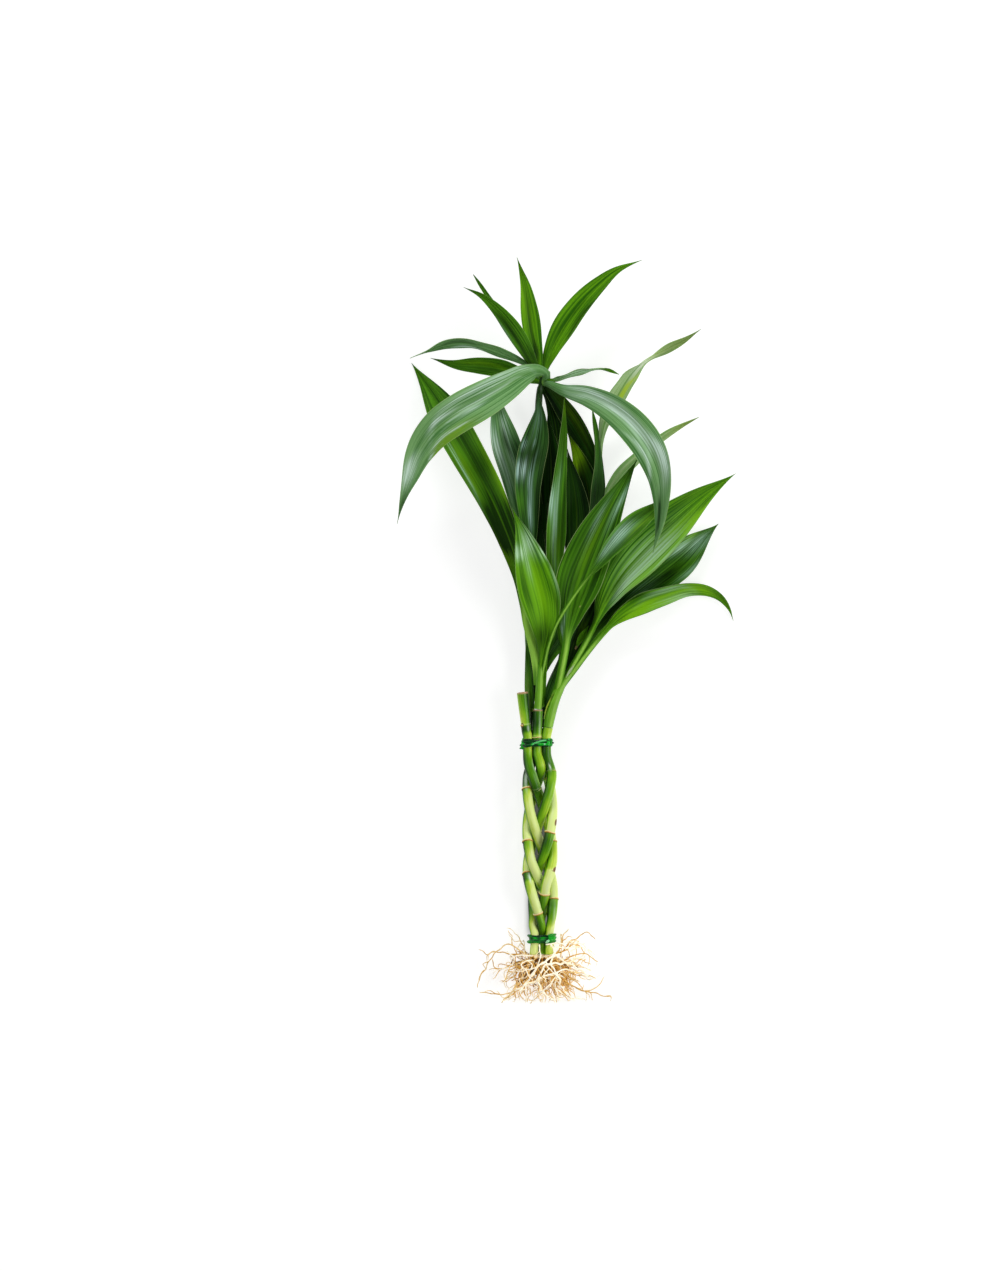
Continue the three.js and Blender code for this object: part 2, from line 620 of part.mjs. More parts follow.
        wide: 15, neck: 3, blade: [0.2, 0.6], turn: [0, 4, -6],
      },
      {
        points: [[23.6, 219, 12], [26.5, 236, 14], [30, 250, 16], [32.8, 264, 17.4], [34, 278, 18],
          [33.8, 292, 18], [32.6, 306, 17.6], [30.6, 320, 16.8]],
        wide: 10, neck: 2.6, blade: [0.2, 0.5], turn: [0, 40, 50],
      },
      {
        points: [[23.4, 215, 11.6], [28, 240, 9.8], [32.6, 262, 9.6], [35, 282, 10.2], [36, 298, 11.6],
          [38.2, 311, 14], [44.4, 324.5, 18], [52, 337.5, 21], [59.4, 345.6, 23], [66.5, 350.4, 24],
          [76, 355.3, 24], [86, 360, 23], [96, 366.5, 21]],
        wide: 12.5, neck: 3.2, blade: [0.46, 0.66], turn: [0, 0, 0, 10, 62, 40],
      },
      {
        points: [[24, 219, 11.4], [30, 240, 8.8], [35.5, 257, 8.4], [41, 270, 8.8], [48, 280.5, 9.6],
          [56, 288.8, 10.2], [65, 296.4, 10.2], [75, 303.6, 9.6], [85, 309.2, 8.6], [95, 314, 7.2]],
        wide: 9, neck: 3, blade: [0.3, 0.6], turn: [0, 20, 36, 30],
      },
    ],
  },
  {
    stem: [[-5.4, 126.3, 10.8, 2], [-5.8, 136, 9.6, 1.7], [-6.1, 150, 8.4, 1.7], [-6.4, 163, 7.6, 1.7],
      [-5, 180, 6.8, 1.7], [-1.8, 205, 6.2, 1.7], [1.6, 235, 5.8, 1.7], [2.6, 265, 6, 1.7],
      [0.4, 290, 7.2, 1.8],
      [-1.4, 308, 10, 1.9], [-1.4, 322, 14.8, 2], [-0.6, 331, 18.4, 2.1], [0.6, 338, 21.6, 1.7]],
    leaves: [
      {
        points: [[0.4, 334.5, 20.4], [2.8, 338.6, 25], [-2, 341, 31], [-10, 338.2, 38], [-21, 331.5, 44],
          [-35, 323.4, 48], [-50, 315, 49], [-63.4, 305, 46], [-73, 292, 41], [-79, 276, 36],
          [-83.4, 262, 32], [-86.2, 249.4, 29]],
        wide: 24, neck: 7, blade: [0.04, 0.46], turn: [0, -6, -10, -16, -24], fold: 12,
      },
      {
        points: [[0.6, 335, 20.6], [5, 333.4, 25], [13, 329.6, 30], [28, 325.6, 36], [42, 318.4, 41],
          [55, 307.4, 45], [65.4, 293, 46.5], [70.8, 278, 45], [72, 262, 42], [70.6, 247, 39],
          [66.8, 232, 36]],
        wide: 20.5, neck: 5, blade: [0.03, 0.5], turn: [0, 6, 8, 24, 40], fold: 14,
      },
      {
        points: [[0.2, 335, 20.2], [-6, 336.4, 20.8], [-14, 339.6, 21.8], [-25, 343, 23], [-38, 344.6, 24],
          [-52, 345.2, 24], [-66.5, 349, 22]],
        wide: 11.5, neck: 4.4, blade: [0.02, 0.42], turn: [0, -10, 0],
      },
      {
        points: [[0, 336.5, 21], [-7, 343.6, 23], [-15, 348.2, 25], [-24, 352.6, 27], [-35, 356.6, 29],
          [-46, 358.6, 30], [-57, 357.6, 29], [-68, 353.2, 27], [-78.6, 348.8, 25]],
        wide: 10.5, neck: 3, blade: [0.1, 0.58], turn: [0, -50, -60, -50],
      },
      {
        points: [[0.2, 337, 21.4], [-5, 346, 26], [-11, 356.5, 31], [-18.4, 367.5, 35], [-26.6, 377.4, 38],
          [-36, 385.6, 40], [-46.5, 390.6, 41]],
        wide: 10.5, neck: 4, blade: [0.05, 0.42], turn: [0, 6, 0],
      },
      {
        points: [[0, 336.6, 20.6], [-8, 350, 22], [-17, 363, 23], [-26, 376.5, 24], [-33.5, 388, 24],
          [-40.6, 399, 23.5]],
        wide: 7, neck: 3, blade: [0.1, 0.5], turn: [0, 30, 40],
      },
      {
        points: [[0.4, 337, 21.6], [-2.2, 350, 26], [-5, 363, 30.5], [-7.2, 377, 35], [-9.4, 391, 39.5],
          [-12.2, 401, 42], [-14.6, 408.6, 43.5]],
        wide: 11.5, neck: 4, blade: [0.05, 0.46], turn: [0, 6, 0],
      },
      {
        points: [[0.8, 337, 21.6], [3.6, 347, 24], [8.6, 358.5, 27], [15.6, 370.4, 30], [24.4, 382, 33],
          [34.4, 392.2, 35], [45.4, 401, 36], [60.6, 407.2, 36]],
        wide: 14.5, neck: 4.4, blade: [0.03, 0.4], turn: [0, -8, -4],
      },
      {
        points: [[0.8, 336.4, 21.2], [7.5, 335.6, 24], [14, 338, 27], [22, 340.8, 29.5], [30, 342.2, 31],
          [38, 342.4, 31], [46.6, 339, 29]],
        wide: 7, neck: 2.6, blade: [0.1, 0.5], turn: [0, 62, 66],
      },
      {
        points: [[0.8, 334.6, 20], [6, 329, 16.5], [12, 321, 13], [18, 312.3, 10.8], [23.8, 302, 9.2],
          [31, 290.6, 7.4], [36, 279.6, 5.4], [39, 269.5, 3.6]],
        wide: 11.4, neck: 5, blade: [0, 0.4], turn: [0, 0, 0],
      },
      {
        points: [[0, 333, 19], [3.4, 327, 15.6], [6.6, 318, 11.8], [9, 307, 8.6], [9.8, 295, 6.4],
          [8.4, 282, 5], [5.8, 268, 4.2], [3.4, 254, 3.6], [1.4, 241, 3.2], [0.2, 230, 3]],
        wide: 14, neck: 4, blade: [0.05, 0.55], turn: [0, 0, 0],
      },
    ],
  },
];

function stemSolid(stem) {
  const curve = new THREE.CatmullRomCurve3(stem.map(([x, y, z]) => new THREE.Vector3(x, y, z)));
  const count = Math.round(1.5 * (stem.length - 1));
  const points = Array.from({ length: count + 1 }, (_, i) => curve.getPoint(i / count));
  const radii = points.map((_, i) => valueAlong(stem.map((station) => station[3]), i / count));
  return toSolid(skinRings(roundRings(points, radii, stemSides, acrossPlant)));
}

// The first shoot buds from the side of its cane, so the cane is cut out of its foot
shoots.forEach((shoot, i) => {
  const whole = join([stemSolid(shoot.stem), ...shoot.leaves.map(leafSolid)]);
  const seated = i === 0 ? whole.subtract(toSolid(caneGeometry(canes[0], clearance))) : whole;
  addPiece(`shoot_${i + 1}`, toGeometry(seated), materials.leaf);
});

export default group;
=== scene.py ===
import math
import random

import bmesh
import bpy
import numpy as np
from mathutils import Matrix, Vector


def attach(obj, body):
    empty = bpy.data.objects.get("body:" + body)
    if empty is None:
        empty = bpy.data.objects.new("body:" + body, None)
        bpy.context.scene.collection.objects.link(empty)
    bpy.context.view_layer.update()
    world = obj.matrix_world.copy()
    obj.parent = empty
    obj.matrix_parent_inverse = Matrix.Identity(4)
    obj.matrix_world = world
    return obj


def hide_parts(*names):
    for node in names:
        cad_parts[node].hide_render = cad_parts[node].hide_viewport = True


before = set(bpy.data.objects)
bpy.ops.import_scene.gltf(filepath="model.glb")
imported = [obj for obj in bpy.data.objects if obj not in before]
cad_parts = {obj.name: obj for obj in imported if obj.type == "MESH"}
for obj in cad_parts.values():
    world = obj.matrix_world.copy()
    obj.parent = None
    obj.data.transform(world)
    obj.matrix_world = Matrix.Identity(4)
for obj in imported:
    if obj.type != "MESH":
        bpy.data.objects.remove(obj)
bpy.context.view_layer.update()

MM = 0.001


# The canes: five cuttings of soft green stem, plaited while they grew and still holding the shape.
# Each is smooth and glossy, with a ring where every old leaf sat, dark green under the ring and
# pale above it. The cut tops of the first two are closed by a dried tan skin.
def unit(vectors):
    return vectors / np.maximum(np.linalg.norm(vectors, axis=-1, keepdims=True), 1e-9)


def lerp(low, high, share):
    return low + (high - low) * share


def smoothstep(value, low, high):
    t = np.clip((np.asarray(value, float) - low) / (high - low), 0, 1)
    return t * t * (3 - 2 * t)


def hump(value, width):
    """One at 0, fading to nothing within a few widths on either side."""
    return np.exp(-((value / width) ** 2))


def column(numbers):
    return np.asarray(numbers, float)[:, None]


def smooth_curve(points, steps=24):
    """A smooth line through given points, in millimetres."""
    points = np.array(points, float)
    points = np.vstack([2 * points[0] - points[1], points, 2 * points[-1] - points[-2]])
    line = []
    for a, b, c, d in zip(points, points[1:], points[2:], points[3:]):
        near, here, far = (math.sqrt(max(np.linalg.norm(q - p), 1e-6)) for p, q in ((a, b), (b, c), (c, d)))
        leaving = here * ((b - a) / near - (c - a) / (near + here) + (c - b) / here)
        arriving = here * ((c - b) / here - (d - b) / (here + far) + (d - c) / far)
        cubic = 2 * (b - c) + leaving + arriving
        square = 3 * (c - b) - 2 * leaving - arriving
        for t in np.arange(steps) / steps:
            line.append(b + leaving * t + square * t**2 + cubic * t**3)
    line.append(points[-2])
    return np.array(line)


def between(wanted, at, points):
    """The points at the wanted places, from those that lie at the given places."""
    return np.stack([np.interp(wanted, at, points[:, i]) for i in range(3)], axis=1)


def square_to(heading, reference):
    """Two directions square to each heading; the first leans to the reference direction."""
    reference = np.asarray(reference, float)
    first = unit(reference - heading * column(heading @ reference))
    return first, np.cross(first, heading)


def oval(middle, turn, first, second, wide, high):
    """Points round a middle, up to wide away along first and high along second."""
    return middle + column(wide * np.cos(turn)) * first + column(high * np.sin(turn)) * second


def new_grid(columns, rows, names):
    """A flat grid whose points carry named numbers; across runs from -1 to 1 and along from 0 to 1."""
    form = bmesh.new()
    layers = {name: form.verts.layers.float.new(name) for name in ("across", "along", *names)}
    bmesh.ops.create_grid(form, x_segments=columns, y_segments=rows, size=1)
    for point in form.verts:
        point[layers["across"]] = point.co.x
        point[layers["along"]] = (point.co.y + 1) / 2
    return form, layers


def shape_grid(form, layers, shape):
    """Puts each point of a grid where shape(across, along) says, with the numbers that it also gives."""
    points = list(form.verts)
    across, along = (np.array([point[layers[name]] for point in points]) for name in ("across", "along"))
    placed, numbers = shape(across, along)
    for point, place in zip(points, placed * MM):
        point.co = place
    for name, values in numbers.items():
        for point, value in zip(points, np.broadcast_to(values, len(points))):
            point[layers[name]] = value


def new_tube(sides, rows, shape, names):
    """A grid rolled into a tube by shape(turn, along), closed at its seam and its ends."""
    form, layers = new_grid(sides, rows, names)
    shape_grid(form, layers, lambda across, along: shape(math.pi * across, along))
    bmesh.ops.remove_doubles(form, verts=form.verts, dist=1e-7)
    bmesh.ops.holes_fill(form, edges=form.edges, sides=0)
    bmesh.ops.recalc_face_normals(form, faces=form.faces)
    return form


def join_forms(forms, names):
    """One form out of several, keeping the named numbers of their points."""
    whole = bmesh.new()
    for name in names:
        whole.verts.layers.float.new(name)
    for form in forms:
        mesh = bpy.data.meshes.new("part")
        form.to_mesh(mesh)
        form.free()
        whole.from_mesh(mesh)
        bpy.data.meshes.remove(mesh)
    return whole


def add_piece(name, form, finish, replaces=(), sharp=50):
    """Makes a piece of the object from its form; edges that turn by more than sharp degrees stay hard."""
    for face in form.faces:
        face.smooth = True
    for edge in form.edges:
        if len(edge.link_faces) == 2 and edge.calc_face_angle() > math.radians(sharp):
            edge.smooth = False
    mesh = bpy.data.meshes.new(name)
    form.to_mesh(mesh)
    form.free()
    mesh.materials.append(finish)
    piece = bpy.data.objects.new(name, mesh)
    bpy.context.scene.collection.objects.link(piece)
    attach(piece, "root")
    if replaces:
        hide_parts(*replaces)


class Value:
    """One output of a shader node, so that the sums in a finish are written as sums."""

    def __init__(self, finish, output):
        self.finish = finish
        self.output = output

    def math(self, operation, *values, clamp=False):
        return self.finish.node("ShaderNodeMath", {"operation": operation, "use_clamp": clamp}, values)

    def __add__(self, other):
        return self.math("ADD", self, other)

    def __sub__(self, other):
        return self.math("SUBTRACT", self, other)

    def __rsub__(self, other):
        return self.math("SUBTRACT", other, self)

    def __mul__(self, other):
        return self.math("MULTIPLY", self, other)

    def __truediv__(self, other):
        return self.math("DIVIDE", self, other)

    def __abs__(self):
        return self.math("ABSOLUTE", self)

    __radd__ = __add__
    __rmul__ = __mul__

    def clamp(self):
        return self.math("ADD", self, 0, clamp=True)

    def rise(self, low, high):
        """0 up to low and 1 from high on, with a smooth rise between them."""
        sizes = {"Value": self, "From Min": low, "From Max": high}
        return self.finish.node("ShaderNodeMapRange", {"interpolation_type": "SMOOTHSTEP"}, sizes)


class Finish:
    """A material put together from shader nodes."""

    def __init__(self, name):
        self.material = bpy.data.materials.new(name)
        self.material.use_nodes = True
        self.material.node_tree.nodes.clear()

    def node(self, kind, settings=None, inputs=(), output=0):
        """Adds a node with its settings, and then the values or links of its sockets."""
        tree = self.material.node_tree
        node = tree.nodes.new(kind)
        for key, value in (settings or {}).items():
            if key == "stops":
                marks = node.color_ramp.elements
                while len(marks) < len(value):
                    marks.new(1)
                for mark, (place, colour) in zip(marks, value):
                    mark.position = place
                    mark.color = (*colour, 1)
            else:
                setattr(node, key, value)
        pairs = inputs.items() if isinstance(inputs, dict) else enumerate(inputs)
        for key, value in pairs:
            if isinstance(value, Value):
                tree.links.new(value.output, node.inputs[key])
            else:
                node.inputs[key].default_value = value
        return Value(self, node.outputs[output]) if node.outputs else None

    def number(self, name):
        return self.node("ShaderNodeAttribute", {"attribute_name": name}, output="Fac")

    def place(self):
        return self.node("ShaderNodeTexCoord", output="Object")

    def vector(self, x, y, z):
        return self.node("ShaderNodeCombineXYZ", None, [x, y, z])

    def noise(self, vector, scale=1.0, detail=2.0, roughness=0.5):
        sizes = {"Vector": vector, "Scale": scale, "Detail": detail, "Roughness": roughness}
        return self.node("ShaderNodeTexNoise", None, sizes)

    def mix(self, share, first, second):
        first, second = (value if isinstance(value, Value) else (*value, 1) for value in (first, second))
        return self.node("ShaderNodeMix", {"data_type": "RGBA"}, {0: share, 6: first, 7: second}, output=2)

    def ramp(self, value, stops):
        """A colour for a value, through (value, colour) stops."""
        return self.node("ShaderNodeValToRGB", {"stops": stops}, [value])

    def bump(self, height, distance, strength=1.0):
        sizes = {"Height": height, "Distance": distance, "Strength": strength}
        return self.node("ShaderNodeBump", None, sizes)

    def done(self, **sockets):
        named = {name.replace("_", " "): value for name, value in sockets.items()}
        surface = self.node("ShaderNodeBsdfPrincipled", None, named)
        self.node("ShaderNodeOutputMaterial", None, {"Surface": surface})
        return self.material


clearance = 0.3
cane_radius = 2.75
fullness = 0.25
ring_flare = 0.22
# between these heights the canes thicken past the lower tie, thin for the upper one and fill out
lower_taper = (4, 30)
upper_taper = (95, 112)
filling_out = (8, 22)
braid_turn = 135
braid_half_width = 7.6
braid_half_depth = 5.6
braid_centre = -0.7
tie_wall = 0.9
# corners are the canes on the outside of the tied bundle, clockwise from the right, counted from 0
lower_tie = {"hold": "lower", "y": 0, "width": 5, "x": 0.7, "radius": 2.45, "corners": [4, 1, 0, 3]}
upper_tie = {"hold": "upper", "y": 118, "width": 4.2, "x": -2.4, "radius": 2.65, "corners": [2, 3, 4, 0]}
upper_blend = (97, 113)
past_upper_tie = 4
plait_from = 47
foot_y = -9
row = math.sqrt(3) / 4
across_plant = (1, 0, 0)
# left_turn is the height where a cane lies at the left of the plait; upper and lower say where it sits
# in each tie, in cane spacings; foot, start and top are its places under, between and above the ties;
# faint rings show by less than 1 and worn ones are gone in front; tones say how dark it is at each
# height, partly its own colour and partly painted shade; the brown scars and the painted highlights are
# spots as (x, y, reach along, reach across, strength). All in millimetres.
canes = [
    {
        "left_turn": 118.8, "upper": [-1, row], "lower": [-2 * row, -0.5], "foot": [-4, 3.65],
        "start": [[-1.3, 8, 3], [0.6, 14, 4.5], [0.9, 20, 8.6], [1.9, 26, 12.6], [3, 33, 15.4],
            [5.2, 40, 15.6]],
        "top": [[-8.7, 125, 16.5], [-9.2, 130, 16.9], [-10.2, 139, 17.6], [-11.2, 148.5, 18.4]],
        "top_radius": 3.1, "dried": 1, "side_shade_at_top": -1.5,
        "rings": [28, 58.5, 90.6, 129], "faint": {90.6: 0.2}, "worn": [129],
        "tones": [(-9, 0.3), (10, 0.5), (17, 0.6), (27.8, 0.62), (28.2, 0.02), (34, 0.06), (41.5, 0.12),
            (42.5, 0.36), (50, 0.42), (58.4, 0.5), (58.8, 0), (66, 0.02), (75, 0.2), (90, 0.75),
            (91.2, 0.8), (100, 0.6), (112, 0.45), (120, 0.28), (124, 0.32), (126, 0.75), (128.8, 0.7),
            (129.2, 0.3), (148, 0.55)],
        "scar": [(8.6, 42.3, 1.4, 1.2, 1.2), (6.2, 42, 0.6, 3, 0.45), (-11.3, 129, 1.2, 0.9, 1.2)],
        "gleam": [(-4.5, 104, 9, 0.5, 0.35), (-7.6, 127, 1.6, 0.6, 0.6), (4, 32, 6, 0.9, 0.35)],
    },
    {
        "left_turn": 64.8, "upper": [0, row], "lower": [2 * row, -0.5], "foot": [6, 3.7],
        "start": [[5.8, 8, 3.5], [6.2, 14, 3.6], [4.4, 20, 3.6], [2, 26, 5.6], [0, 33, 9.9],
            [-2.9, 40, 14.4]],
        "top": [[-2.3, 125, 16.3], [-2.1, 130, 16.6], [-1.9, 138.2, 17]],
        "top_radius": 2.7, "dried": 1,
        "rings": [30, 59, 88, 121.5], "faint": {121.5: 0.5},
        "tones": [(-9, 0.3), (29, 0.55), (33, 0.4), (37, 0.08), (46, 0.1), (52, 0.26), (58.6, 0.5),
            (59.2, 0), (68, 0.03), (75, 0.25), (88, 0.6), (98, 0.75), (105, 0.34), (113, 0.4),
            (121.3, 0.5), (121.8, 0.1), (124, 0.45), (130, 0.66), (139, 0.6)],
        "scar": [(-0.4, 36.3, 0.6, 0.5, 0.9)],
        "gleam": [(-5.5, 52, 8, 0.6, 0.4), (-0.6, 127, 8, 0.5, 0.35)],
    },
    {
        "left_turn": 37.8, "upper": [1, row], "lower": [0, 0], "foot": [0.7, 6.25],
        "start": [[0.4, 8, 9.9], [-1.2, 14, 12], [-3, 20, 13.8], [-4.9, 26, 14.7], [-6.9, 33, 14.2],
            [-8.1, 40, 10.8]],
        "top": [[3.6, 124.5, 16.2], [4.2, 127.5, 16.4]],
        "top_radius": 2.8,
        "rings": [16, 39.5, 66, 100.8], "faint": {100.8: 0.2},
        "tones": [(-9, 0.5), (3, 0.75), (12, 0.66), (15.8, 0.6), (16.2, 0.02), (22, 0.1), (34.5, 0.3),
            (35.5, 0.62), (39.3, 0.66), (39.8, 0.04), (46, 0.08), (56, 0.5), (65.8, 0.6), (66.2, 0.4),
            (75, 0.46), (88, 0.6), (97, 0.52), (100.6, 0.5), (101, 0.62), (106, 0.7), (117, 0.66),
            (121, 0.22), (128, 0.3)],
        "scar": [(-7.6, 34.6, 0.6, 1.6, 0.7)],
        "gleam": [(-6.8, 37.6, 3.4, 0.6, 1.3), (5.4, 104, 1.7, 0.4, 1.5), (-1.5, 22, 6, 0.9, 0.3)],
    },
    {
        "left_turn": 10.8, "upper": [0.5, -row], "lower": [-2 * row, 0.5], "foot": [-4.2, 9.3],
        "start": [[-4.9, 8, 7.4], [-4.8, 14, 6.6], [-4.9, 20, 5.7], [-4.9, 26, 5], [-4.5, 33, 4.9],
            [-2.5, 40, 7.2]],
        "top": [[0.9, 124.5, 11], [1.3, 127, 10.9]],
        "top_radius": 2.5,
        "rings": [35, 64.5, 98],
        "tones": [(-9, 0.05), (3, 0.08), (9, 0.2), (14, 0.5), (24, 0.7), (34.8, 0.6), (35.3, 0.1),
            (44, 0.5), (52, 0.62), (60, 0.74), (64.3, 0.62), (64.8, 0.03), (74, 0.1), (84, 0.12),
            (97.8, 0.1), (98.3, 0.5), (110, 0.8), (127, 0.9)],
        "scar": [(9, 70.5, 1.8, 0.7, 1.3), (6.3, 89.6, 0.6, 0.6, 0.8)],
        "gleam": [(7.5, 84, 12, 0.7, 0.3)],
    },
    {
        "left_turn": 91.8, "upper": [-0.5, -row], "lower": [2 * row, 0.5], "foot": [4.7, 9.7],
        "start": [[5.5, 8, 9.6], [6.6, 14, 11], [7.1, 20, 10.8], [7.3, 26, 9.4], [6.9, 33, 7.9],
            [5.4, 40, 6.4]],
        "top": [[-5.3, 123.5, 11], [-5.4, 126, 10.8]],
        "top_radius": 2.5,
        "rings": [24.3, 52, 90.3],
        "tones": [(-9, 0.3), (3, 0.12), (7, 0.2), (13, 0.5), (20, 0.68), (24, 0.6), (24.6, 0), (36, 0.04),
            (44, 0.3), (52, 0.5), (60, 0.16), (72, 0.14), (82, 0.2), (88, 0.34), (90, 0.42), (90.6, 0.55),
            (96, 0.66), (104, 0.8), (112, 0.85), (127, 0.95)],
        "gleam": [(-9.2, 97, 6, 0.7, 1.1), (7.6, 30, 6, 0.8, 0.3), (7.8, 12, 8, 0.7, 0.3)],
    },
]


def cane_spacing(tie):
    return 2 * tie["radius"] + clearance


def axis_height(y):
    return lower_tie["axis"] + 3 * smoothstep(y, 0, 25) + 0.04 * np.maximum(0, y)


lower_tie["axis"] = tie_wall + clearance + lower_tie["radius"] + cane_spacing(lower_tie) / 2
upper_tie["axis"] = axis_height(upper_tie["y"])


def place_in_tie(tie, place):
    across, up = place
    return tie["x"] + across * cane_spacing(tie), tie["axis"] + up * cane_spacing(tie)


def place_in_plait(cane, y):
    """Seen from the end, each cane of the plait follows a figure of eight."""
    angle = -math.pi / 2 + 2 * math.pi * (cane["left_turn"] - y) / braid_turn
    free_x = braid_centre + braid_half_width * math.sin(angle)
    free_z = axis_height(y) - braid_half_depth * math.sin(2 * angle)
    held_x, held_z = place_in_tie(upper_tie, cane["upper"])
    hold = smoothstep(y, *upper_blend)
    return [lerp(free_x, held_x, hold), y, lerp(free_z, held_z, hold)]


def cane_line(cane):
    foot_x, foot_z = cane["foot"]
    tie_x, tie_z = place_in_tie(lower_tie, cane["lower"])
    points = [[foot_x, y, foot_z] for y in (foot_y, foot_y + 1.5)]
    points += [[tie_x, share * lower_tie["width"], tie_z] for share in (-0.5, 0.1, 0.7)]
    points += cane["start"]
    plait_to = upper_tie["y"] + past_upper_tie
    points += [place_in_plait(cane, y) for y in np.arange(plait_from, plait_to + 0.3, 1.5)]
    return smooth_curve(points + cane["top"], 12)


def cane_heading(line, y):
    return between(y, line[:, 1], np.gradient(line, axis=0))


def radius_of_cane(cane, y):
    lower = lerp(lower_tie["radius"], cane_radius, smoothstep(y, *lower_taper))
    upper = lerp(lower, upper_tie["radius"], smoothstep(y, *upper_taper))
    free_end = smoothstep(y, upper_tie["y"] + past_upper_tie, cane["top"][-1][1])
    return lerp(upper, cane["top_radius"], free_end) + fullness * smoothstep(y, *filling_out)


def on_cane(cane, y, turn, out):
    """Points at height y and angle turn round a cane, at a distance out from its middle."""
    line = cane_line(cane)
    side, up = square_to(unit(cane_heading(line, y)), across_plant)
    return oval(between(y, line[:, 1], line), turn, side, up, out, out)


def marked(spots, placed, heading):
    """How strongly spots, given in the picture plane, show at each point."""
    total = np.zeros(len(placed))
    forward = unit(heading[:, :2])
    for x, y, reach, wide, strength in spots:
        offset = placed[:, :2] - (x, y)
        run = (offset * forward).sum(axis=1)
        off = offset[:, 0] * forward[:, 1] - offset[:, 1] * forward[:, 0]
        total += strength * np.exp(-((run / reach) ** 2) - (off / wide) ** 2)
    return total


def cane_finish():
    finish = Finish("cane")
    seed = finish.number("seed")
    across = finish.number("across")
    height = finish.number("along")
    fibres = finish.noise(finish.vector(across * 20, height * 7, seed), detail=3, roughness=0.6)
    clouds = finish.noise(finish.vector(across * 2.2, height * 14, seed + 30), detail=2)
    spots = finish.noise(finish.vector(across * 9, height * 60, seed + 60), detail=4, roughness=0.7)
    level = finish.number("tone") + (clouds - 0.5) * 0.45 + (fibres - 0.5) * 0.45
    green = finish.ramp(level, [
        (0.0, (0.77, 0.90, 0.30)), (0.14, (0.57, 0.75, 0.07)), (0.34, (0.27, 0.54, 0.015)),
        (0.58, (0.10, 0.31, 0.003)), (0.80, (0.028, 0.13, 0.002)), (1.0, (0.006, 0.04, 0.002))])
    pale_over_ring = (1 - finish.number("above").rise(0.1, 1.4)) * 0.6
    dark_under_ring = (1 - finish.number("below").rise(0.1, 1.3)) * 0.5
    colour = finish.mix(pale_over_ring, green, (0.66, 0.72, 0.36))
    colour = finish.mix(dark_under_ring, colour, (0.06, 0.14, 0.008))
    scar = (finish.number("scar") * (0.4 + spots * 1.3)).rise(0.3, 0.6) + spots.rise(0.70, 0.75) * 0.5
    colour = finish.mix(scar.clamp(), colour, (0.20, 0.10, 0.03))
    # painted highlight: whitish streaks laid into the colour where the cane glints
    gleam = (finish.number("gleam") * (fibres * 2 - 0.3)).clamp()
    colour = finish.mix(gleam, colour, (0.82, 0.93, 0.80))
    return finish.done(
        Base_Color=finish.mix(finish.number("cut"), colour, (0.55, 0.33, 0.17)),
        Roughness=0.30 + fibres * 0.14,
        Specular_IOR_Level=0.15,
        Coat_Weight=0.16,
        Coat_Roughness=0.14,
        Normal=finish.bump(fibres, 0.00025, 0.35))


def ring_finish():
    finish = Finish("ring")
    speckle = finish.noise(finish.place(), scale=1400, detail=3, roughness=0.7)
    colour = finish.ramp(finish.number("edge") + (speckle - 0.5) * 0.9, [
        (0.0, (0.16, 0.07, 0.008)), (0.2, (0.50, 0.24, 0.02)), (0.42, (0.78, 0.45, 0.06)),
        (0.75, (0.93, 0.78, 0.40))])
    return finish.done(Base_Color=colour, Roughness=0.7, Normal=finish.bump(speckle, 0.0003, 0.6))


def add_cane(index, cane):
    top = cane["top"][-1][1]
    joints = [foot_y - 6, *cane["rings"], top + 14]
    seed = 3.7 * index + 1
    side_shade = 0.17
    rim_shade = 0.4
    contrast = 1.22
    sheath_end = 128.5
    cut_edge = 0.5 * MM

    def shape(turn, along):
        y = foot_y + along * (top - foot_y)
        nearest = np.searchsorted(joints, y, side="right")
        below = np.array(joints)[nearest] - y
        above = y - np.array(joints)[nearest - 1]
        lip = ring_flare * hump(np.minimum(below, above), 0.5)
        swell = 0.10 * np.exp(-below / 2.2) - 0.10 * np.exp(-above / 3.0)
        bends = 0.05 * np.sin(turn * 2 + seed + y * 0.05)
        placed = on_cane(cane, y, turn, radius_of_cane(cane, y) + lip + swell + bends)
        # painted shade: one side of each cane is drawn darker, and its rim on that side darker still, as if
        # lit from the other side; above the dried sheath of the first cane the shaded side turns round
        lean = side_shade * np.where(y > sheath_end, cane.get("side_shade_at_top", 1), 1)
        lean = lean * lerp(0.3, 1, smoothstep(y, -3, 6))
        rim = smoothstep(-np.cos(turn) * np.sign(lean), 0.62, 1)
        tone = np.interp(y, *zip(*cane["tones"])) - lean * np.cos(turn) + rim_shade * rim
        tone = 0.36 + (tone - 0.45) * contrast + 0.16 * smoothstep(y, 92, 108)
        numbers = {"tone": np.clip(tone, -0.1, 1), "above": above, "below": below, "seed": seed}
        front = smoothstep(np.sin(turn), -0.2, 0.2)
        heading = cane_heading(cane_line(cane), y)
        for kind in ("gleam", "scar"):
            numbers[kind] = front * marked(cane.get(kind, []), placed, heading)
        return placed, numbers

    form = new_tube(36, int(top - foot_y), shape, ("tone", "above", "below", "seed", "gleam", "scar", "cut"))
    cut = form.verts.layers.float["cut"]
    ends = [face for face in form.faces if len(face.verts) > 4]
    hollow = [face for face in ends if face.calc_center_median().y > 0]
    edge = bmesh.ops.inset_region(form, faces=hollow, thickness=cut_edge, depth=0)
    dish = bmesh.ops.inset_region(form, faces=hollow, thickness=cut_edge, depth=-cut_edge)
    for face in hollow + edge["faces"] + dish["faces"]:
        for point in face.verts:
            point[cut] = cane.get("dried", 0)
    add_piece(f"cane_{index}", form, materials["cane"], [f"cane_{index}"])


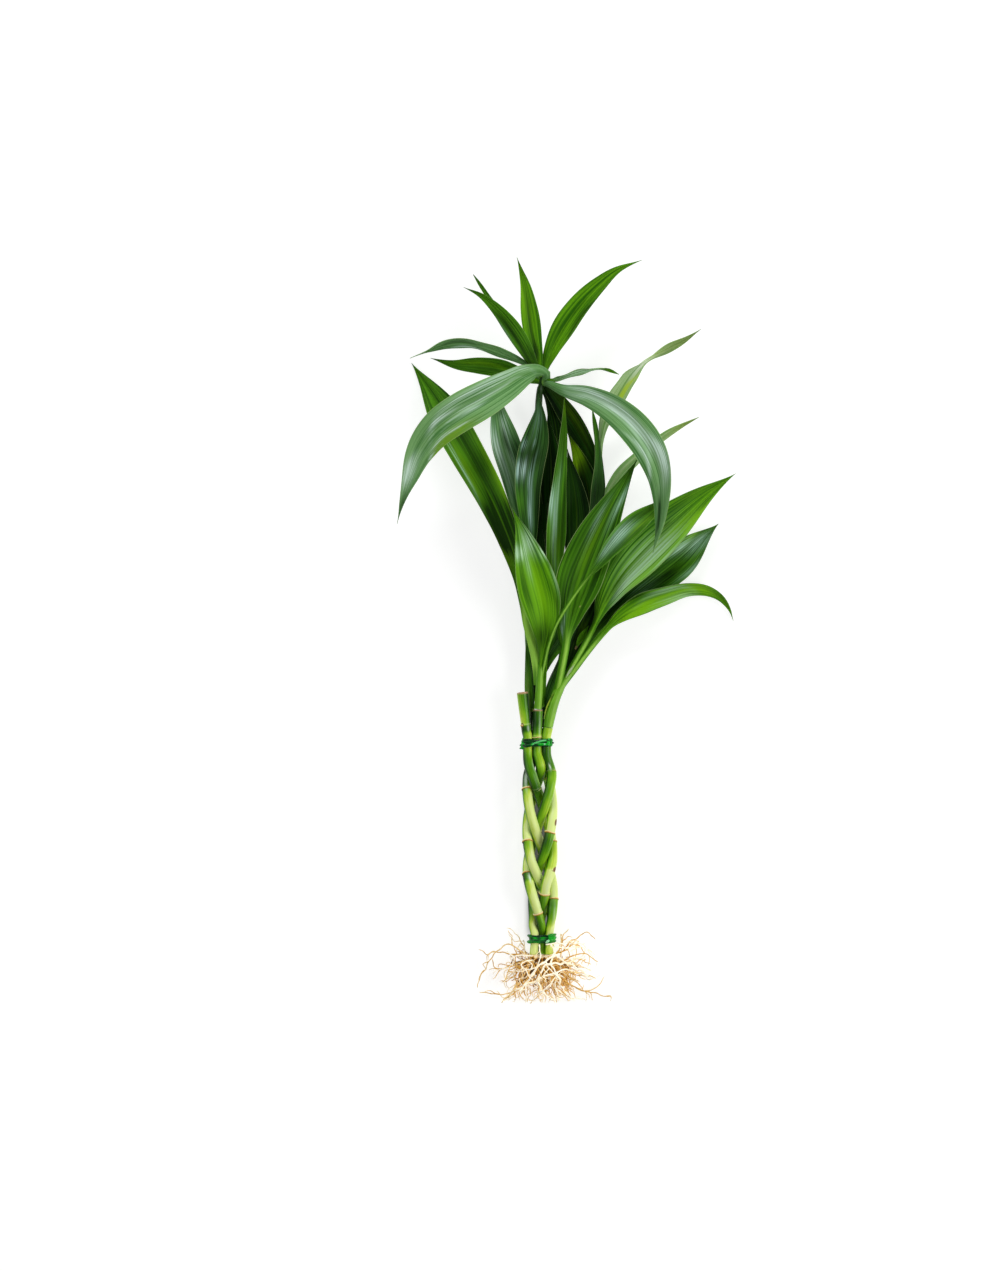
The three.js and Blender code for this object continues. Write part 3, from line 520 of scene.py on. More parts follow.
def add_rings(index, cane):
    """The dried edges that the old leaves left on a cane."""
    forms = []
    for ring in cane["rings"]:
        ragged = random.Random(f"ring {index} {ring}")
        phases = [ragged.uniform(0, 6.3) for _ in range(4)]
        show = cane.get("faint", {}).get(ring, 1)

        def shape(turn, along):
            waves = sum(np.sin(turn * k + phase) / k for k, phase in zip((2, 5, 9, 14), phases))
            profile = 2 * math.pi * along
            y = ring + 0.20 * waves + (0.52 * show + 0.14 * waves) * np.sin(profile)
            worn = smoothstep(np.cos(turn), -0.7, -0.4) if ring in cane.get("worn", []) else 0
            out = radius_of_cane(cane, y) + ring_flare + 0.04 + 0.18 * np.cos(profile)
            out = out - 0.8 * worn - 0.3 * (1 - show)
            return on_cane(cane, y, turn, out), {"edge": 0.5 + 0.5 * np.sin(profile)}

        forms.append(new_tube(48, 8, shape, ("edge",)))
    add_piece(f"rings_{index}", join_forms(forms, ("edge",)), materials["ring"])


materials = {"cane": cane_finish(), "ring": ring_finish()}
for index, cane in enumerate(canes, 1):
    add_cane(index, cane)
    add_rings(index, cane)


# The ties: green ribbon of thin soft plastic, wound round the five canes and twisted. Round the lower
# end it is wound flat, with its folded tail at the right; round the upper end two strands cross.
def places_along(line, shares):
    """The points at these shares of a line's length, and the direction of the line at each."""
    lengths = np.concatenate([[0], np.cumsum(np.linalg.norm(np.diff(line, axis=0), axis=1))])
    wanted = np.asarray(shares) * lengths[-1]
    return between(wanted, lengths, line), unit(between(wanted, lengths, np.gradient(line, axis=0)))


def rolled(first, second, angle):
    """Two directions square to each other, rolled by an angle in their own plane."""
    cosine, sine = column(np.cos(angle)), column(np.sin(angle))
    return cosine * first + sine * second, cosine * second - sine * first


def tie_outline(tie, offset):
    """The closed line that a ribbon takes round the corner canes of a tie, clockwise, as x and z."""
    corners = [place_in_tie(tie, canes[i][tie["hold"]]) for i in tie["corners"]]
    normals = []
    for (x, z), (next_x, next_z) in zip(corners, corners[1:] + corners[:1]):
        normals.append(math.atan2(next_z - z, next_x - x) + math.pi / 2)
    out = tie["radius"] + offset
    line = []
    for i, (x, z) in enumerate(corners):
        start, end = normals[i - 1], normals[i]
        while end > start:
            end -= 2 * math.pi
        for angle in np.linspace(start, end, 12):
            line.append([x + out * math.cos(angle), 0, z + out * math.sin(angle)])
    return np.array(line + line[:1])


def tie_finish():
    finish = Finish("tie")
    crumple = finish.vector(finish.number("across") * 5, finish.number("along") * 9, 0)
    wrinkles = finish.noise(crumple, detail=2)
    # painted light and shade: pale sets how light the ribbon of one green is drawn at each place, dark where
    # it is in shade and light where it is lit, and its top stop is a painted highlight
    colour = finish.ramp(finish.number("pale") / 1.6 + (wrinkles - 0.5) * 0.5, [
        (0.0, (0.0, 0.022, 0.003)), (0.25, (0.0, 0.10, 0.010)), (0.6, (0.004, 0.46, 0.014)),
        (0.78, (0.03, 0.62, 0.08)), (1.0, (0.62, 0.92, 0.72))])
    return finish.done(
        Base_Color=colour,
        Roughness=0.3,
        Specular_IOR_Level=0.2,
        Coat_Weight=0.3,
        Coat_Roughness=0.1,
        Normal=finish.bump(wrinkles, 0.0006, 0.5))


def loop(tie, offset, wide, thick, centre, roll, pale):
    """One turn of ribbon round a tie; centre, roll and pale (painted light and shade) say what it does at
    each place across.
    """
    line = tie_outline(tie, offset)

    def shape(turn, along):
        place, heading = places_along(line, along % 1)
        x = place[:, 0]
        place[:, 1] = tie["y"] + centre(x)
        first, second = rolled(np.array([[0, 1, 0]]), np.cross(heading, (0, 1, 0)), roll(x))
        return oval(place, turn, first, second, wide / 2, thick / 2), {"pale": pale(x)}

    return new_tube(12, 150, shape, ("pale",))


def ribbon(thick, pale, widths, roll, points):
    """A short free piece of ribbon along given points."""
    line = smooth_curve(points)

    def shape(turn, along):
        place, heading = places_along(line, along)
        side, up = square_to(heading, (0, 0, 1))
        angle = np.radians(np.interp(along, np.linspace(0, 1, len(roll)), roll))
        first, second = rolled(up, side, angle)
        wide = np.interp(along, np.linspace(0, 1, len(widths)), widths)
        return oval(place, turn, first, second, wide / 2, thick / 2), {"pale": pale}

    return new_tube(12, 24, shape, ("pale",))


def add_tie(name, forms):
    add_piece(name, join_forms(forms, ("across", "along", "pale")), materials["tie"], [name])


materials["tie"] = tie_finish()
add_tie("tie_lower", [
    ribbon(0.5, 0.5, [1.7, 2.1, 2.1, 1.6], (10, 5, 0),
           [[-7.8, 1.8, 8.6], [-7.4, 2.0, 9.6], [-6.8, 2.0, 10.8], [-5.6, 1.8, 11.8]]),
    ribbon(0.5, 0.62, [1.8, 2.2, 2.2, 1.6], (-10, -5, 0),
           [[-7.8, -0.9, 8.4], [-7.5, -1.2, 9.6], [-6.9, -1.4, 10.8], [-5.6, -1.4, 11.7]]),
    loop(lower_tie, 0.60, 1.7, 0.5, lambda x: 1.75 + 0.15 * np.sin(x * 0.7), lambda x: 0.15 + 0 * x,
         lambda x: 0.04 + 0.4 * (x < -6.6) + 0 * x),
    loop(lower_tie, 0.72, 1.5, 0.45, lambda x: 0.75 + 0.12 * np.sin(x),
         lambda x: 0.25 + 0.2 * np.sin(x * 0.9), lambda x: 0.58 + 0.25 * np.sin(x * 1.3)),
    loop(lower_tie, 0.62, 1.4, 0.5, lambda x: -0.35 + 0.12 * np.sin(x + 1), lambda x: -0.2 + 0 * x,
         lambda x: 0.34 + 0.2 * np.sin(x * 0.8 + 1)),
    loop(lower_tie, 0.70, 1.7, 0.5, lambda x: -1.45 - 0.15 * np.sin(x * 0.5), lambda x: 0.2 * np.sin(x),
         lambda x: 0.50 - 0.35 * smoothstep(x, -2, 2)),
    ribbon(0.6, 0.72, [1.5, 2.0, 2.2, 1.6], (0, 20, 30),
           [[4.4, 2.2, 12.7], [6.0, 2.5, 12.5], [7.6, 2.6, 11.6], [9.0, 2.8, 9.6]]),
    ribbon(0.6, 0.84, [2.0, 2.6, 2.6, 1.8], (0, -15, 20),
           [[4.6, 0.6, 12.8], [6.2, 0.5, 12.7], [7.8, 0.8, 11.6], [9.1, 0.9, 9.4]]),
    ribbon(0.6, 0.66, [1.4, 2.0, 2.2, 1.6], (0, 20, -20),
           [[4.5, -1.1, 12.6], [6.2, -1.0, 12.4], [7.6, -0.9, 11.3], [8.8, -0.5, 9.3]]),
    ribbon(0.45, 1.45, [1.0, 1.6, 1.6, 0.9], (0, 10, 20),
           [[5.0, -0.3, 12.9], [4.2, -1.0, 13.1], [3.4, -1.6, 12.8], [2.9, -2.0, 12.2]]),
])
add_tie("tie_upper", [
    loop(upper_tie, 0.35, 3.0, 0.5, lambda x: 0.1 + 0.2 * np.sin(x), lambda x: 0.2 * np.sin(x * 0.7),
         lambda x: 0.22 + 0.2 * np.sin(x * 1.7)),
    loop(upper_tie, 0.55, 1.7, 0.55, lambda x: 1.6 + 0.35 * np.sin(x * 0.6), lambda x: 0.3 * np.sin(x * 0.5),
         lambda x: 0.06 + 0.35 * smoothstep(x, -2, 2)),
    loop(upper_tie, 0.60, 1.6, 0.55, lambda x: -1.6 + 0.5 * smoothstep(x, -9, -4), lambda x: 0.2 * np.sin(x),
         lambda x: 0.08 + 0.15 * hump(x + 4.8, 0.8)),
    loop(upper_tie, 0.95, 1.5, 0.6, lambda x: 0.9 - 1.5 * smoothstep(x, -7, -1),
         lambda x: 0.5 * np.sin(x * 0.55),
         lambda x: 0.2 + 0.75 * smoothstep(x, -3, -0.5) + 0.5 * hump(x - 2.2, 0.7)),
    loop(upper_tie, 1.15, 1.25, 0.5, lambda x: -1.3 + 3.0 * smoothstep(x, -9.5, 3), lambda x: 0.35 + 0 * x,
         lambda x: 0.3 + 1.0 * smoothstep(x, -6.6, -5) * (1 - smoothstep(x, 3, 4))),
    ribbon(0.8, 0.92, [1.1, 1.9, 2.5, 1.8], (0, 15, 10),
           [[-10.6, 121, 16.8], [-10.8, 119.2, 18.2], [-10.9, 117.2, 18.6], [-11.5, 114.6, 17]]),
    ribbon(0.7, 0.6, [1.2, 1.5, 1.3, 0.8], (0, 20, 10),
           [[-10.2, 119.8, 18.2], [-9.4, 119.2, 18.6], [-8.6, 118.2, 18.4], [-8.2, 117.2, 18]]),
    ribbon(0.7, 0.15, [1.3, 1.3, 1.1, 0.9], (0, 20, 40),
           [[-10.6, 117.6, 17.4], [-11.4, 117.2, 16.8], [-12.2, 117.0, 16.2], [-12.6, 116.8, 15.8]]),
    ribbon(0.7, 0.72, [1.6, 1.8, 1.5, 0.9], (0, -20, -30),
           [[-10.4, 115.9, 17.0], [-11.3, 115.4, 16.6], [-12.2, 115.0, 16.0], [-12.7, 114.9, 15.6]]),
    ribbon(0.8, 1.02, [1.5, 1.9, 1.9, 1.7], (0, 10, 0),
           [[4.3, 116.3, 19.2], [4.3, 117.8, 19.7], [4.5, 119.4, 19.7], [4.7, 120.9, 19.0]]),
    ribbon(0.8, 0.72, [1.3, 1.6, 1.8, 1.6], (0, -25, 10),
           [[5.9, 116.2, 18.4], [5.7, 117.8, 18.9], [5.8, 119.4, 18.9], [6.1, 120.8, 18.2]]),
    ribbon(0.8, 0.35, [1.6, 1.5, 1.3, 0.9], (0, 20, 30),
           [[5.8, 118.6, 18.2], [6.5, 118.5, 17.8], [7.1, 118.3, 17.3], [7.6, 118.3, 16.9]]),
])


# The roots: a tuft of wiry cream roots on the brown foot of each cane. They grew in water, so they
# are loose, kinked and branched, and orange-brown near the foot. Fine rootlets fill the tufts.
long_roots = [
    [
        [[-4, -12, 3.6], [-10, -16, 4], [-18, -16, 5], [-24, -18, 4], [-28, -17, 3], [-29, -12, 3]],
        [[-4, -12.5, 3.4], [-8, -24, 3], [-14, -31, 2.4], [-22, -33, 1.6], [-37, -32.6, 1.3]],
        [[-4, -12, 3.4], [-9.4, -7.6, 3], [-11.6, -2.6, 3.6], [-13, 1, 5], [-15.4, 3.4, 6]],
    ],
    [
        [[6, -12, 3.6], [10, -20, 3.5], [16, -26, 3], [22, -30, 2.4], [30, -31, 1.8], [36, -27, 1.6],
            [38.4, -22.6, 1.6]],
        [[6, -13, 3.4], [6.6, -25, 2.6], [9, -34, 2], [9.4, -38.6, 1.4]],
        [[6, -12, 3.5], [13, -12.6, 3.4], [20, -14, 3], [26, -13, 2.6], [30, -16, 2.4]],
    ],
    [
        [[0.7, -12, 7], [0, -14.4, 14.4], [-3.5, -17, 17.5], [-2, -21.5, 19], [-8, -25.5, 20.5],
            [-14, -27, 18.5]],
        [[0.7, -13, 6.6], [0.2, -21.5, 14.6], [0.6, -31.5, 14], [-3, -35, 10], [-7, -39, 5]],
        [[0.7, -12, 6.6], [1.6, -14.6, 15], [5, -19, 20], [8, -25, 19], [12, -31, 14], [19, -36, 7]],
        [[0.7, -12.5, 6.4], [2, -20, 11], [3, -29, 11], [8, -36, 6]],
    ],
    [
        [[-4.2, -11.6, 9.3], [-10, -9, 11], [-17, -9, 11], [-24, -7.6, 10], [-28, -7.4, 9], [-33, -9, 8],
            [-37, -5.6, 7]],
        [[-4.2, -12, 9.3], [-8, -15, 14], [-7.5, -20, 16.5], [-9.5, -26, 17], [-16, -30.5, 15],
            [-20, -34.5, 10], [-24, -38.4, 5]],
        [[-4.2, -13, 9.3], [-11, -19, 12], [-10.5, -27, 12], [-9.4, -33, 10], [-8, -38, 7.5]],
        [[-4.2, -11.6, 9.3], [-11.6, -7.6, 9.4], [-19, -2.8, 9], [-25, -6, 7.4], [-30, -11.5, 6],
            [-33, -17, 5], [-37, -24, 3.5], [-38.2, -29.5, 2]],
    ],
    [
        [[4.7, -11.6, 9.7], [13.4, -7, 12.4], [20, -3, 12], [24, -4.5, 11], [26.6, -9, 10]],
        [[4.7, -11.8, 9.9], [13.4, -12.4, 14.2], [20, -9.4, 14], [28, -8.6, 12], [31, -11.5, 10],
            [34.5, -13.6, 9]],
        [[4.7, -12.4, 9.5], [11.6, -17.4, 12], [19, -20, 12], [27, -20.5, 10], [33, -24, 8]],
        [[4.7, -13, 9.3], [11.8, -23, 10.6], [20, -28.5, 10], [28, -31.6, 7], [34, -33, 5],
            [43, -35.2, 2.4]],
        [[4.7, -11.8, 9.6], [11.4, -6, 9], [13.8, 3, 10.6], [16.6, 6.6, 12]],
        [[4.7, -12.2, 9], [13, -7, 6.2], [17, -2, 7], [23, 1, 7.5], [26, 4.2, 8], [29.6, 3.4, 8],
            [32.6, -0.4, 7.5]],
    ],
]
crown_length = 5
root_radius = 0.75
short_roots = 5
most_tries = 200
near_feet = 20
beside_foot = 3.4
lowest_y = -39.0
lowest_z = 0.15
# fine roots stay between these sides and under this height, and where they would cross the plait, which
# has this middle and reach, they stay below its edge
left_limit = -37.5
right_limit = 42
height_limit = 22
plait_middle = 0.8
plait_reach = 11
plait_edge = -8
root_step = 1.1


class Draws:
    """The same run of drawn numbers as the solid roots have."""

    def __init__(self, seed):
        self.seed = seed

    def between(self, low, high):
        self.seed = (self.seed * 1664525 + 1013904223) % 4294967296
        return low + (high - low) * self.seed / 4294967296


def foot_point(cane, depth):
    return np.array([cane["foot"][0], foot_y - clearance - depth, cane["foot"][1]])


def away_from_bundle(cane):
    return math.atan2(cane["foot"][1] - lower_tie["axis"], cane["foot"][0] - lower_tie["x"])


def draw_root(cane, draws):
    """A short root: it leaves its crown away from the middle of the bundle and wanders downwards."""
    point = foot_point(cane, draws.between(1, crown_length - 1))
    angle = away_from_bundle(cane) + draws.between(-1, 1)
    heading = unit(np.array([math.cos(angle), -draws.between(0.2, 1.6), 0.8 * math.sin(angle)]))
    points = [point]
    for _ in range(5):
        point = point + heading * draws.between(3.5, 6.5)
        point[2] = max(point[2], root_radius + clearance)
        points.append(point)
        wander = [draws.between(*limits) for limits in ((-0.6, 0.6), (-0.7, 0.3), (-0.6, 0.4))]
        heading = unit(heading + np.array(wander))
    return points


def dense_points(points):
    return places_along(smooth_curve(points), np.linspace(0, 1, len(points) * 6 + 1))[0]


def stays_clear(root, others, gap):
    return np.linalg.norm(root[:, None] - others[None], axis=2).min() > gap


def routes_of_roots():
    """The long roots of every cane, and the short ones that find room between them."""
    draws = Draws(7)
    lines = [cane_line(cane) for cane in canes]
    feet = np.concatenate([line[line[:, 1] < near_feet] for line in lines])
    from_roots = 2 * root_radius + clearance + 0.5
    from_crowns = lower_tie["radius"] + root_radius + clearance
    from_canes = lower_tie["radius"] + tie_wall + root_radius + 2 * clearance
    routes = [list(tuft) for tuft in long_roots]
    for i, cane in enumerate(canes):
        other_roots = [root for k, tuft in enumerate(routes) if k != i for root in tuft]
        others = np.concatenate([dense_points(root) for root in other_roots])
        crowns = np.array([foot_point(other, share * crown_length) for other in canes if other is not cane
                           for share in (0, 0.3, 0.6, 1)])
        drawn = 0
        tries = 0
        while drawn < short_roots and tries < most_tries:
            tries += 1
            root = draw_root(cane, draws)
            dense = dense_points(root)
            outer = dense[np.linalg.norm(dense - root[0], axis=1) > beside_foot]
            if (stays_clear(dense, others, from_roots) and stays_clear(dense, crowns, from_crowns)
                    and stays_clear(outer, feet, from_canes)):
                routes[i].append(root)
                drawn += 1
    return routes


def line_length(line):
    return float(np.linalg.norm(np.diff(line, axis=0), axis=1).sum())


def root_tube(points, foot_radius, tip_radius, sides, rng, age):
    """A root along points, kinked a little and tapering; age is how brown it is at its start."""
    line = smooth_curve(points, 8)
    length = line_length(line)
    kinks = [(rng.uniform(0.12, 0.45), rng.uniform(0.25, 1.1), rng.uniform(0, 6.3)) for _ in range(6)]
    knots = kinks[-1][2]

    def shape(turn, along):
        place, heading = places_along(line, along)
        side, up = square_to(heading, (0.3, 0.2, 1))
        run = along * length
        fade = smoothstep(run, 0, 5)
        for k, (size, pace, phase) in enumerate(kinks):
            direction = side if k % 2 else up
            place = place + direction * column(fade * size * 0.7 * np.sin(run * pace + phase))
        radius = lerp(foot_radius, tip_radius, along ** 0.8) * (1 + 0.12 * np.sin(run * 1.7 + knots))
        radius = radius * np.where(along > 0.999, 0.35, 1)
        place = oval(place, turn, side, up, radius, radius)
        place[:, 1] = np.maximum(place[:, 1], lowest_y)
        place[:, 2] = np.maximum(place[:, 2], lowest_z)
        reach = np.hypot((place[:, 0] - 1) / 22, (place[:, 1] + 16) / 22)
        return place, {"age": age * (1 - 0.35 * smoothstep(reach, 0.35, 1.1))}

    return new_tube(sides, max(4, int(length / root_step)), shape, ("age",))


def rootlet(start, heading, rng, steps, stride, droop):
    """The points of a fine root that wanders on from start, over the table and out of the plait."""
    points = [np.array(start, float)]
    heading = unit(np.array(heading, float))
    for _ in range(steps):
        point = points[-1] + heading * rng.uniform(0.6, 1.3) * stride
        point[2] = min(max(point[2], 0.6), height_limit)
        point[1] = max(point[1], lowest_y + rng.uniform(0.4, 3))
        point[0] = min(max(point[0], left_limit), right_limit)
        if abs(point[0] - plait_middle) < plait_reach and point[1] > plait_edge:
            point[1] = plait_edge + 0.5 - rng.uniform(0, 6)
        points.append(point)
        bend = [rng.uniform(-1, 1), rng.uniform(-0.9, 0.8) - droop, rng.uniform(-0.8, 0.7)]
        heading = unit(heading + np.array(bend))
    return points


def turned(heading, rng, *limits):
    return heading + np.array([rng.uniform(*pair) for pair in limits])


# painted light: the roots glow with their own colour, as if light came through them
def root_finish(name, glow):
    finish = Finish(name)
    mottle = finish.noise(finish.place(), scale=260, detail=3, roughness=0.65)
    colour = finish.ramp(finish.number("age") + (mottle - 0.5) * 0.6, [
        (0.0, (0.96, 0.89, 0.72)), (0.2, (0.88, 0.64, 0.27)), (0.42, (0.70, 0.39, 0.07)),
        (0.68, (0.40, 0.18, 0.02)), (1.0, (0.08, 0.035, 0.008))])
    return finish.done(
        Base_Color=colour,
        Roughness=0.55,
        Specular_IOR_Level=0.2,
        Emission_Color=colour,
        Emission_Strength=glow,
        Normal=finish.bump(finish.noise(finish.place(), scale=2200, detail=2), 0.0002, 0.5))


def add_tuft(index, cane, routes):
    rng = random.Random(100 + index)
    crown = foot_point(cane, 0)

    def crown_shape(turn, along):
        depth = along * crown_length
        profile = np.interp(along, [0, 0.5, 0.85, 1], [0.97, 0.92, 0.7, 0.35]) * lower_tie["radius"]
        out = profile * (1 + 0.05 * np.sin(3 * turn + index) + 0.04 * np.sin(7 * turn + depth * 2))
        place = crown + np.stack([out * np.cos(turn), -depth, out * np.sin(turn)], axis=1)
        ragged = 0.14 * np.sin(3 * turn + 2 * index) + 0.08 * np.sin(8 * turn)
        return place, {"age": lerp(0.12, 0.95, smoothstep(along + ragged, 0.2, 0.5))}

    def any_side():
        """An angle round the foot, away from the bundle; one that would rise is turned down."""
        angle = away_from_bundle(cane) + rng.uniform(-1.9, 1.9)
        return angle if math.sin(angle) < 0.35 else -angle

    forms = [new_tube(28, 14, crown_shape, ("age",))]
    for root in routes:
        forms.append(root_tube(root, 0.50, 0.26, 8, rng, rng.uniform(0.3, 0.6)))
        line = smooth_curve(root, 8)
        for _ in range(3):
            place, heading = places_along(line, [rng.uniform(0.25, 0.92)])
            lean = turned(heading[0], rng, (-0.9, 0.9), (-0.8, 0.6), (-0.5, 0.8))
            points = rootlet(place[0], lean, rng, rng.randint(3, 6), 2.2, 0.1)
            forms.append(root_tube(points, 0.36, 0.18, 5, rng, rng.uniform(0.05, 0.5)))
    fine_roots = 22
    for _ in range(fine_roots):
        angle = any_side()
        start = foot_point(cane, rng.uniform(2.5, crown_length))
        heading = [1.5 * math.cos(angle), -rng.uniform(0, 1.2), 0.8 * math.sin(angle)]
        points = rootlet(start, heading, rng, rng.randint(6, 10), 3.5, 0.06)
        thick = rng.uniform(0.36, 0.5)
        forms.append(root_tube(points, thick, 0.22, 6, rng, rng.choice((0.05, 0.2, 0.4, 0.6, 0.75))))
    old_roots = 13
    for _ in range(old_roots):
        angle = any_side()
        start = foot_point(cane, rng.uniform(2, crown_length))
        heading = [1.3 * math.cos(angle), -rng.uniform(0.3, 1.6), -rng.uniform(0.2, 0.8)]
        points = rootlet(start, heading, rng, rng.randint(5, 8), 2.8, 0.05)
        forms.append(root_tube(points, rng.uniform(0.45, 0.6), 0.3, 5, rng, rng.uniform(0.7, 1.1)))
    name = f"roots_{index}"
    add_piece(name, join_forms(forms, ("age",)), materials["root"], [name])


# the young front roots glow more than the rest, as painted light
materials["root"] = root_finish("root", 0.10)
materials["glowing_young_root"] = root_finish("glowing_young_root", 0.32)
for index, (cane, routes) in enumerate(zip(canes, routes_of_roots()), 1):
    add_tuft(index, cane, routes)


# The front roots: younger and thicker than the rest, cream white, forked and crossing one another
# in front of the feet like a net. Each is given by its thickness and its points, in millimetres.
front_roots = [
    (1, [[-1, -3, 14], [-0.5, -8, 18], [-0.9, -13, 22], [-3, -16, 23], [-4.6, -21, 23]]),
    (1.7, [[11, -8.5, 17], [7, -10, 21], [3.5, -12, 23], [0, -14, 24], [-3, -16.5, 24.4], [-4.6, -20, 24],
        [-7, -23, 23], [-9.5, -26, 21.6], [-11.5, -28.5, 20], [-15, -30.2, 17]]),
    (1.5, [[14.5, -13.4, 18], [10, -14.4, 21], [5, -14, 23], [1.6, -15.6, 24], [0, -19, 24.4],
        [-1.6, -23, 24], [-1, -26.6, 22.6], [0.6, -30.6, 19], [1, -34, 12], [0.6, -38, 4]]),
    (1.5, [[-9.5, -26, 21.4], [-5, -25.4, 22.6], [-1.6, -23.4, 23.4], [2, -21.2, 23.6], [6, -20.4, 23.4],
        [10, -19, 22.4], [14.6, -17.4, 20], [19, -19, 17]]),
    (1, [[0.6, -31, 18.6], [-2.6, -34, 13], [-6.4, -38.4, 5]]),
    (1, [[0.8, -31, 18.6], [4, -33.8, 13.6], [8, -36.6, 8], [9.4, -38.6, 4]]),
    (1.2, [[0.6, -30.8, 19], [3.6, -28.2, 21], [6, -26.4, 22], [7.4, -22.8, 22.4], [10, -19.4, 22]]),
    (1.1, [[-9.5, -26, 21.4], [-9.3, -29.4, 19], [-14, -30, 16], [-17.2, -31.4, 13], [-21, -35, 8],
        [-23.8, -38.4, 3]]),
    (1, [[-9.3, -29.4, 19], [-8.5, -33, 14], [-9.2, -38.4, 5]]),
    (1.4, [[6, -3, 16], [8, -6, 19], [9, -9, 21], [12, -11.4, 21.4], [15.4, -14, 20], [19.4, -15.2, 18],
        [23, -17.6, 15], [26.4, -20.4, 12], [29.6, -21, 9]]),
    (1.4, [[8.4, -7, 19], [6.6, -10, 21], [6.2, -14, 22.6], [8, -18, 23.4], [10.4, -22, 23],
        [11.6, -27, 20], [14.2, -31, 15], [18.4, -34.6, 9], [24.6, -36, 4]]),
    (1.1, [[-5, -9.6, 14], [-9, -9.6, 16], [-13, -9.2, 16], [-17.4, -9.4, 14], [-21, -6.6, 12]]),
    (1.1, [[-5, -12.2, 18], [-9, -12.6, 20], [-11.6, -14.6, 20.6], [-10.6, -17, 21.4], [-8, -19.6, 22],
        [-6.6, -22.6, 22], [-8.6, -25.2, 21]]),
    (1, [[-2.6, -16, 23.4], [-6, -17.6, 23], [-8.6, -17, 22], [-11, -18.8, 20], [-15, -18.4, 17]]),
    (0.9, [[-6, -17.6, 23], [-5.4, -14.6, 22], [-7.2, -12.4, 20]]),
    (1, [[3, -12.8, 23], [4.6, -17, 23.4], [8, -19.6, 23], [10.6, -22.6, 22]]),
    (0.9, [[4.6, -17, 23.4], [2.4, -19.6, 24], [1, -23, 23.4], [3.2, -25.6, 22]]),
    (1.1, [[10, -19, 22.4], [9, -24, 21], [8.4, -29, 18], [10.6, -33, 12], [10, -37.4, 5]]),
    (0.9, [[8.4, -29, 18], [12, -31.6, 14], [16, -35, 8], [20.4, -36.4, 4]]),
    (1, [[3, -3, 13], [7, -2.4, 15], [14, -1.8, 15], [19, -1, 13], [22, -4, 11], [26.6, -6, 9],
        [26, -9, 8], [20, -11.4, 10], [14, -13, 14]]),
    (0.9, [[9, -4.4, 16], [16, -4.8, 15], [22.6, -4.2, 12], [19, -6.4, 12], [15.6, -9.4, 14],
        [12, -11.4, 18]]),
    (0.8, [[19, -0.8, 12], [25, -3, 9], [30, -8.6, 6], [31.6, -12, 5], [34.4, -13.4, 4]]),
    (0.8, [[23, -17.6, 14], [28, -21.6, 9], [32, -22.6, 6], [36, -22, 4]]),
    (0.8, [[-17.4, -9.4, 14], [-16, -13, 13], [-20, -17, 11], [-25, -18, 8], [-28, -19.6, 6]]),
]


def add_front_roots():
    rng = random.Random(31)
    forms = []
    for thick, points in front_roots:
        forms.append(root_tube(points, 0.42 * thick, 0.27 * thick, 10, rng, 0.0))
        line = smooth_curve(points, 8)
        for _ in range(int(line_length(line) / 6)):
            place, heading = places_along(line, [rng.uniform(0.15, 0.98)])
            lean = turned(heading[0], rng, (-1.2, 1.2), (-1.2, 0.8), (-0.6, 0.3))
            fork = rootlet(place[0], lean, rng, rng.randint(2, 4), 2.0, 0.1)
            forms.append(root_tube(fork, 0.28 * thick, 0.16, 6, rng, rng.uniform(0, 0.12)))
    add_piece("roots_front", join_forms(forms, ("age",)), materials["glowing_young_root"])


add_front_roots()


# The leafy shoots: each is a soft stem wrapped in the sheaths of its leaves. A leaf is a folded
# channel at the foot that opens into a long thin blade, arched and glossy, with fine veins that run
# its whole length and a thin pale edge.
stalk_fold = -30
blade_fold = 14
blade_thickness = 0.45
rib_thickness = 0.35
narrow_leaf = 9
tip_width = 0.15
highest_z = 53.9
grid_step = 2.2
